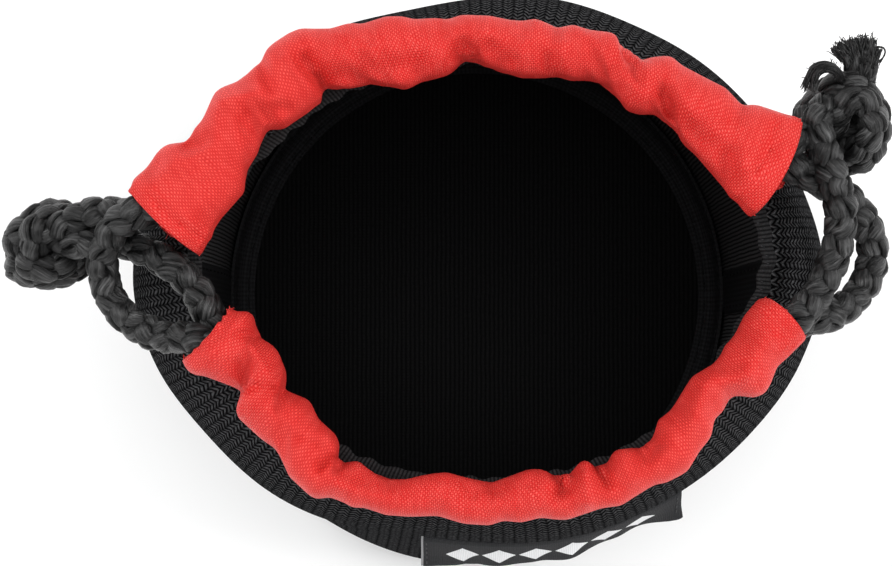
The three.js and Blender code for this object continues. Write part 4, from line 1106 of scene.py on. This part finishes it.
    # the seam allowance under the tube, sewn down onto the rim, so that no light comes through between them
    line = Y[:, int(m2 * 0.75)]
    deg = np.degrees(np.arctan2(line[:, 1], line[:, 0])) % 360
    low, top = wall_point(deg, np.full(n2, 85.3), 1.5), line + (0, 0, 0.35)
    rows = np.stack([low, low * 0.5 + top * 0.5, top])
    thick = np.array([(np.cos(a), np.sin(a), 0) for a in np.radians(deg)]) * 0.24
    along = np.arange(n2) * ds / 2
    band = Shape()
    for R, turn in ((rows + thick / 2, False), (rows - thick / 2, True)):
        band.grid(R, np.stack(np.broadcast_arrays(along[None, :], np.array((0, 0.6, 1.2))[:, None]), -1), flip=turn)
    band = band.make(name + "_seam_allowance", [RED])
    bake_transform(band)
    return piece


back_cords = [left_cord[L1 - 14:L2 + 14:3], right_cord[R3 - 14:R4 + 14:3]]
front_cords = [left_cord[L3 - 14:L4 + 14:3], right_cord[R1 - 14:R2 + 14:3]]
build_channel("back_channel_fabric", BACK_IN, BACK_OUT, BACK_IN_FINE, BACK_OUT_FINE, BACK_FOLDS,
              "back_channel", back_cords, 21, (1.0, 2.2), depth=1.3)
build_channel("front_channel_fabric", FRONT_IN, FRONT_OUT, FRONT_IN_FINE, FRONT_OUT_FINE, FRONT_FOLDS,
              "front_channel", front_cords, 37, (-1.0, 0.9), depth=1.2)


# ---- label ----------------------------------------------------------------------------------------
def label_paint():
    """Black satin-woven patch with an even row of pale woven diamonds."""
    p = Paint("woven_label", 0.65, Specular_IOR_Level=0.06)

    def diamond(cu, cv, ru, rv):
        du = p.math("DIVIDE", p.math("ABSOLUTE", p.math("SUBTRACT", p.u, cu)), ru)
        dv = p.math("DIVIDE", p.math("ABSOLUTE", p.math("SUBTRACT", p.v, cv)), rv)
        return p.math("LESS_THAN", p.math("ADD", du, dv), 1.0)

    marks = None
    for k in range(6):
        m = diamond(5.6 + 4.9 * k, 6.2, 2.25, 4.0)
        marks = m if marks is None else p.math("MAXIMUM", marks, m)
    warp = p.math("SINE", p.math("MULTIPLY", p.u, 6.28318 / 0.24))
    weft = p.math("SINE", p.math("ADD", p.math("MULTIPLY", p.v, 6.28318 / 0.36), p.math("MULTIPLY", p.u, 2.1)))
    weave = p.math("ADD", p.math("MULTIPLY", warp, 0.5), p.math("MULTIPLY", weft, 0.5))
    grain = p.noise(p.vec(p.math("MULTIPLY", p.u, 6.0), p.math("MULTIPLY", p.v, 1.2)), 1.0, 3)
    # painted shade: darker in the grooves of the weave, on the black ground and on the pale marks alike, times random
    # grain
    ground = p.mix(p.math("MULTIPLY", p.span(weave, -1, 1, 0.3, 1.0), p.span(grain, 0.3, 0.7, 0.6, 1.1)),
                   (0.0022, 0.0022, 0.0028), (0.0165, 0.017, 0.0195))
    pale = p.mix(p.span(weave, -1, 1, 0.2, 1.0), (0.52, 0.52, 0.53), (0.86, 0.86, 0.87))
    edge = p.math("LESS_THAN", p.u, 0.30)      # a thin pale selvedge at the left end
    p.color(p.mix(p.math("MAXIMUM", marks, p.math("MULTIPLY", edge, 0.35)), ground, pale))
    p.bump((weave, 0.6, 0.09), (marks, 0.5, 0.12))
    return p.m


LOWER_EDGE = [(-8.0, -38.6), (-7.4, -38.7), (-4.3, -38.3), (-0.9, -38.1), (0.9, -38.3), (3.8, -38.4), (5.4, -38.2),
              (7.8, -37.7), (8.6, -37.5), (9.7, -37.7), (11.7, -37.8), (12.5, -37.5), (13.6, -36.8), (14.3, -36.3),
              (16.7, -35.3), (18.8, -34.4), (20.1, -33.6), (22.0, -32.9), (24.1, -32.4), (27.9, -32.1)]


def build_label():
    shape = Shape()
    n, m = 141, 37
    share = np.linspace(0, 1, n)
    deg = 258.3 + (311.0 - 258.3) * share
    e = np.array(LOWER_EDGE)
    e_deg, e_r = np.degrees(np.arctan2(e[:, 1], e[:, 0])) % 360, np.hypot(e[:, 0], e[:, 1])
    low_r = np.interp(deg, e_deg, e_r)
    low_r = np.convolve(np.pad(low_r, 3, mode="edge"), np.ones(7) / 7, "valid")
    z = np.linspace(58.0, 44.5, m)
    k = (58.0 - z) / 13.5
    base = np.interp(z, [44.5, 49, 54, 56.2, 57.2, 58.0], [2.6, 1.5, 0.55, 0.05, -0.35, -0.85])
    Z = np.broadcast_to(z, (n, m))
    D = deg[:, None] * k[None, :] + (257.0 + (313.9 - 257.0) * share)[:, None] * (1 - k)[None, :]
    R = outer_r(D, Z) + soft_wave(D, Z) * (1 - k)[None, :] ** 0.5 + base[None, :]
    gap = low_r - (outer_r(deg, np.full(n, 44.5)) + 2.6)
    R = R + gap[:, None] * k[None, :] ** 1.6
    R = R + 0.10 * np.sin(np.radians(D) * 41 + 1.0) * k[None, :]
    A = np.radians(D)
    P = np.stack([R * np.cos(A), R * np.sin(A), Z + 0 * R], -1)
    u = np.r_[0, np.cumsum(np.linalg.norm(np.diff(P[:, m // 2], axis=0), axis=1))]
    v = np.r_[0, np.cumsum(np.linalg.norm(np.diff(P[n // 2], axis=0), axis=1))]
    N = unit(np.cross(np.gradient(P, axis=0), np.gradient(P, axis=1)))
    if (N[n // 2, m // 2] * P[n // 2, m // 2] * (1, 1, 0)).sum() < 0:
        N = -N
    edge = np.minimum(np.minimum(np.arange(n), np.arange(n)[::-1])[:, None] * (u[-1] / n), np.minimum(np.arange(m), np.arange(m)[::-1])[None, :] * (v[-1] / m))
    soft = np.clip(edge / 0.5, 0, 1) ** 0.5
    front = P + N * (0.32 + 0.28 * soft)[..., None]
    back = P + N * (0.18 - 0.08 * soft)[..., None]
    UV = np.stack(np.broadcast_arrays(u[:, None], (v[-1] - v)[None, :]), -1)
    shape.grid(front, UV)
    shape.grid(back, UV, flip=True)
    for f, b, uvf, flip in ((front[0], back[0], UV[0], True), (front[-1], back[-1], UV[-1], False),
                            (front[:, 0], back[:, 0], UV[:, 0], False), (front[:, -1], back[:, -1], UV[:, -1], True)):
        shape.grid(np.stack([f, b]), np.stack([uvf, uvf]), flip=flip)
    # sewn down both short sides; its top edge is caught in the wall
    for i in (3, n - 4):
        dashes(shape, front[i, 5:m - 3], 2.2, 0.09, lift=N[i, 5:m - 3], mat=1, sink=0.06)
    piece = shape.make("front_label", [label_paint(), BLACK_THREAD])
    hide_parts("label")
    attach(piece, "pouch")


build_label()


# ---- base, binding and side tapes -------------------------------------------------------------------
def tape_paint():
    p = Paint("binding_tape", 0.7, Specular_IOR_Level=0.3)
    x = p.math("SINE", p.math("MULTIPLY", p.u, 6.28318 / 0.7))
    y = p.math("SINE", p.math("MULTIPLY", p.v, 6.28318 / 0.5))
    w = p.math("ADD", p.math("MULTIPLY", x, 0.5), p.math("MULTIPLY", y, 0.5))
    # painted shade: darker in the grooves of the weave
    p.color(p.mix(p.span(w, -1, 1), (0.006, 0.006, 0.0065), (0.032, 0.032, 0.036)))
    p.bump((w, 0.7, 0.14),)
    return p.m


TAPE = tape_paint()


def lathe(profile, n=180, mats=None, name="ring", materials=(), swell=0.0):
    """profile is a closed loop of (r, z); one turn."""
    shape = Shape()
    a = np.arange(n) / n * 2 * np.pi
    prof = np.array(profile + profile[:1], float)
    r = prof[:, 0][:, None] + swell * np.sin(31 * a)[None, :]
    P = np.stack([r * np.cos(a)[None, :], r * np.sin(a)[None, :], np.repeat(prof[:, 1][:, None], n, 1)], -1)
    s = np.r_[0, np.cumsum(np.linalg.norm(np.diff(prof, axis=0), axis=1))]
    u = np.arange(n + 1) / n * 230.0
    UV = np.stack(np.broadcast_arrays(u[None, :], s[:, None]), -1)
    shape.grid(P, UV, wrap=True, flip=True)
    return shape


def rounded(points, r=0.6, k=4):
    """Rounds the corners of a closed loop."""
    P = [np.array(p, float) for p in points]
    out = []
    for i, p in enumerate(P):
        a, b = P[i - 1], P[(i + 1) % len(P)]
        q = min(r, np.linalg.norm(a - p) / 2.2, np.linalg.norm(b - p) / 2.2)
        p0, p2 = p + (a - p) / np.linalg.norm(a - p) * q, p + (b - p) / np.linalg.norm(b - p) * q
        for t in np.linspace(0, 1, k):
            out.append(tuple((1 - t) ** 2 * p0 + 2 * t * (1 - t) * p + t * t * p2))
    return out


def build_base():
    shape = Shape()
    rows = [0.0, 4, 8, 12, 16, 20, 24, 28, 31, 33.5, 35.4, 36.2, 36.55, 36.7]
    n = 180
    a = np.arange(n) / n * 2 * np.pi
    edge = [(r, 3.0 - max(0, (r - 35.6)) ** 2 * 0.5) for r in rows[1:]] + [(36.7, 1.5)] + \
           [(r, 0.0 + max(0, (r - 35.6)) ** 2 * 0.5) for r in rows[:0:-1]]
    P = np.stack([np.stack([r * np.cos(a), r * np.sin(a), np.full(n, z)], -1) for r, z in edge])
    flat = np.concatenate([P[..., :2], np.concatenate([P[:, :1, :2]], 1)], 1)
    half = len(rows) - 1
    shape.grid(P[:half + 1], flat[:half + 1], wrap=True, mat=1)
    shape.grid(P[half:], flat[half:], wrap=True, mat=0)
    shape.fan(np.arange(n), (0, 0, 3.0), mat=1, flip=False, size=4)
    last = half + 1
    m2 = len(edge) - half
    shape.fan(last * n + (m2 - 1) * n + np.arange(n), (0, 0, 0.0), mat=0, flip=True, size=4)
    # the inside of the base gets its own darker copy of the rib material: painted shade
    piece = shape.make("base_round", [KNIT, rib_paint("knit_inner_base_painted_shade", 0.014)])
    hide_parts("base_disc")
    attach(piece, "pouch")

    ring = lathe(rounded([(36.55, 3.35), (36.55, 7.85), (36.05, 7.85), (35.7, 5.2), (35.0, 4.3), (33.05, 4.1), (33.05, 3.35)], 0.35), swell=0.0)
    a = np.linspace(0, 2 * np.pi, 720)
    for r, z, lift in ((34.0, 4.28, (0, 0, 1)), (35.93, 6.9, None)):
        line = np.stack([r * np.cos(a), r * np.sin(a), np.full(720, z)], 1)
        L = np.tile(np.array(lift, float), (720, 1)) if lift else -np.stack([np.cos(a), np.sin(a), 0 * a], 1)
        dashes(ring, line, 2.6, 0.15, lift=L, mat=1)
    piece = ring.make("base_seam_tape", [TAPE, BLACK_THREAD])
    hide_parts("base_seam_binding")
    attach(piece, "pouch")


def build_side_tape(name, middle, node):
    shape = Shape()
    d = middle + np.linspace(-5, 5, 15)
    z = np.linspace(9.5, 80, 90)
    e = np.minimum(np.arange(15), np.arange(15)[::-1]) / 7
    thick = 0.30 + 0.42 * np.clip(e * 3, 0, 1) ** 0.5
    D, Z = np.meshgrid(d, z, indexing="ij")
    inside = wall_point(D, Z, 3.0 + thick[:, None])
    close = wall_point(D, Z, np.full_like(D, 3.16))
    uv = np.stack(np.broadcast_arrays((np.linspace(-3.2, 3.2, 15))[:, None], z[None, :]), -1)
    shape.grid(inside, uv, flip=False)
    shape.grid(close, uv, flip=True)
    for f, b, w, flip in ((inside[0], close[0], uv[0], True), (inside[-1], close[-1], uv[-1], False),
                          (inside[:, 0], close[:, 0], uv[:, 0], False), (inside[:, -1], close[:, -1], uv[:, -1], True)):
        shape.grid(np.stack([f, b]), np.stack([w, w]), flip=flip)
    for i in (2, 12):
        L = -unit(inside[i] * (1, 1, 0))
        dashes(shape, inside[i] + L * 0.05, 2.5, 0.15, lift=L, mat=1)
    piece = shape.make(name, [TAPE, BLACK_THREAD])
    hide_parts(node)
    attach(piece, "pouch")


build_base()
build_side_tape("right_side_tape", 0.0, "right_seam_tape")
build_side_tape("left_side_tape", 180.0, "left_seam_tape")

# ---- floor and light ----------------------------------------------------------------------------------
floor_mesh = bpy.data.meshes.new("floor")
floor_mesh.from_pydata([(-6, -6, 0), (6, -6, 0), (6, 6, 0), (-6, 6, 0)], [], [(0, 1, 2, 3)])
floor = bpy.data.objects.new("floor", floor_mesh)
bpy.context.scene.collection.objects.link(floor)
floor_paint = bpy.data.materials.new("floor")
floor_paint.use_nodes = True
floor_paint.node_tree.nodes["Principled BSDF"].inputs["Base Color"].default_value = (0.97, 0.97, 0.97, 1)
floor_paint.node_tree.nodes["Principled BSDF"].inputs["Roughness"].default_value = 0.9
floor_paint.node_tree.nodes["Principled BSDF"].inputs["Specular IOR Level"].default_value = 0.0
floor_mesh.materials.append(floor_paint)
floor.location.z = -0.0004

world = bpy.data.worlds.new("studio")
bpy.context.scene.world = world
world.use_nodes = True
world.node_tree.nodes["Background"].inputs["Color"].default_value = (1.0, 1.0, 1.0, 1)
world.node_tree.nodes["Background"].inputs["Strength"].default_value = 0.40


def softbox(name, place_at, size, power, aim=(0, 0, 0.07)):
    data = bpy.data.lights.new(name, "AREA")
    data.shape = "RECTANGLE"
    data.size, data.size_y = size
    data.energy = power
    o = bpy.data.objects.new(name, data)
    bpy.context.scene.collection.objects.link(o)
    o.location = place_at
    v = np.array(aim) - np.array(place_at)
    o.rotation_euler = (math.acos(-v[2] / np.linalg.norm(v)), 0, math.atan2(v[1], v[0]) - math.pi / 2)
    return o


softbox("softbox_top", (0.05, 0.10, 1.15), (0.6, 0.6), 4.2)
softbox("softbox_left", (-0.60, 0.32, 0.56), (0.55, 0.55), 4.6)
softbox("softbox_right", (0.72, 0.10, 0.52), (0.5, 0.5), 5.3)
softbox("softbox_front", (-0.10, -0.85, 0.50), (0.6, 0.4), 3.2)

scene = bpy.context.scene
scene.view_settings.view_transform = "Standard"
scene.view_settings.look = "None"
scene.view_settings.exposure = 0.0
scene.view_settings.gamma = 1.0
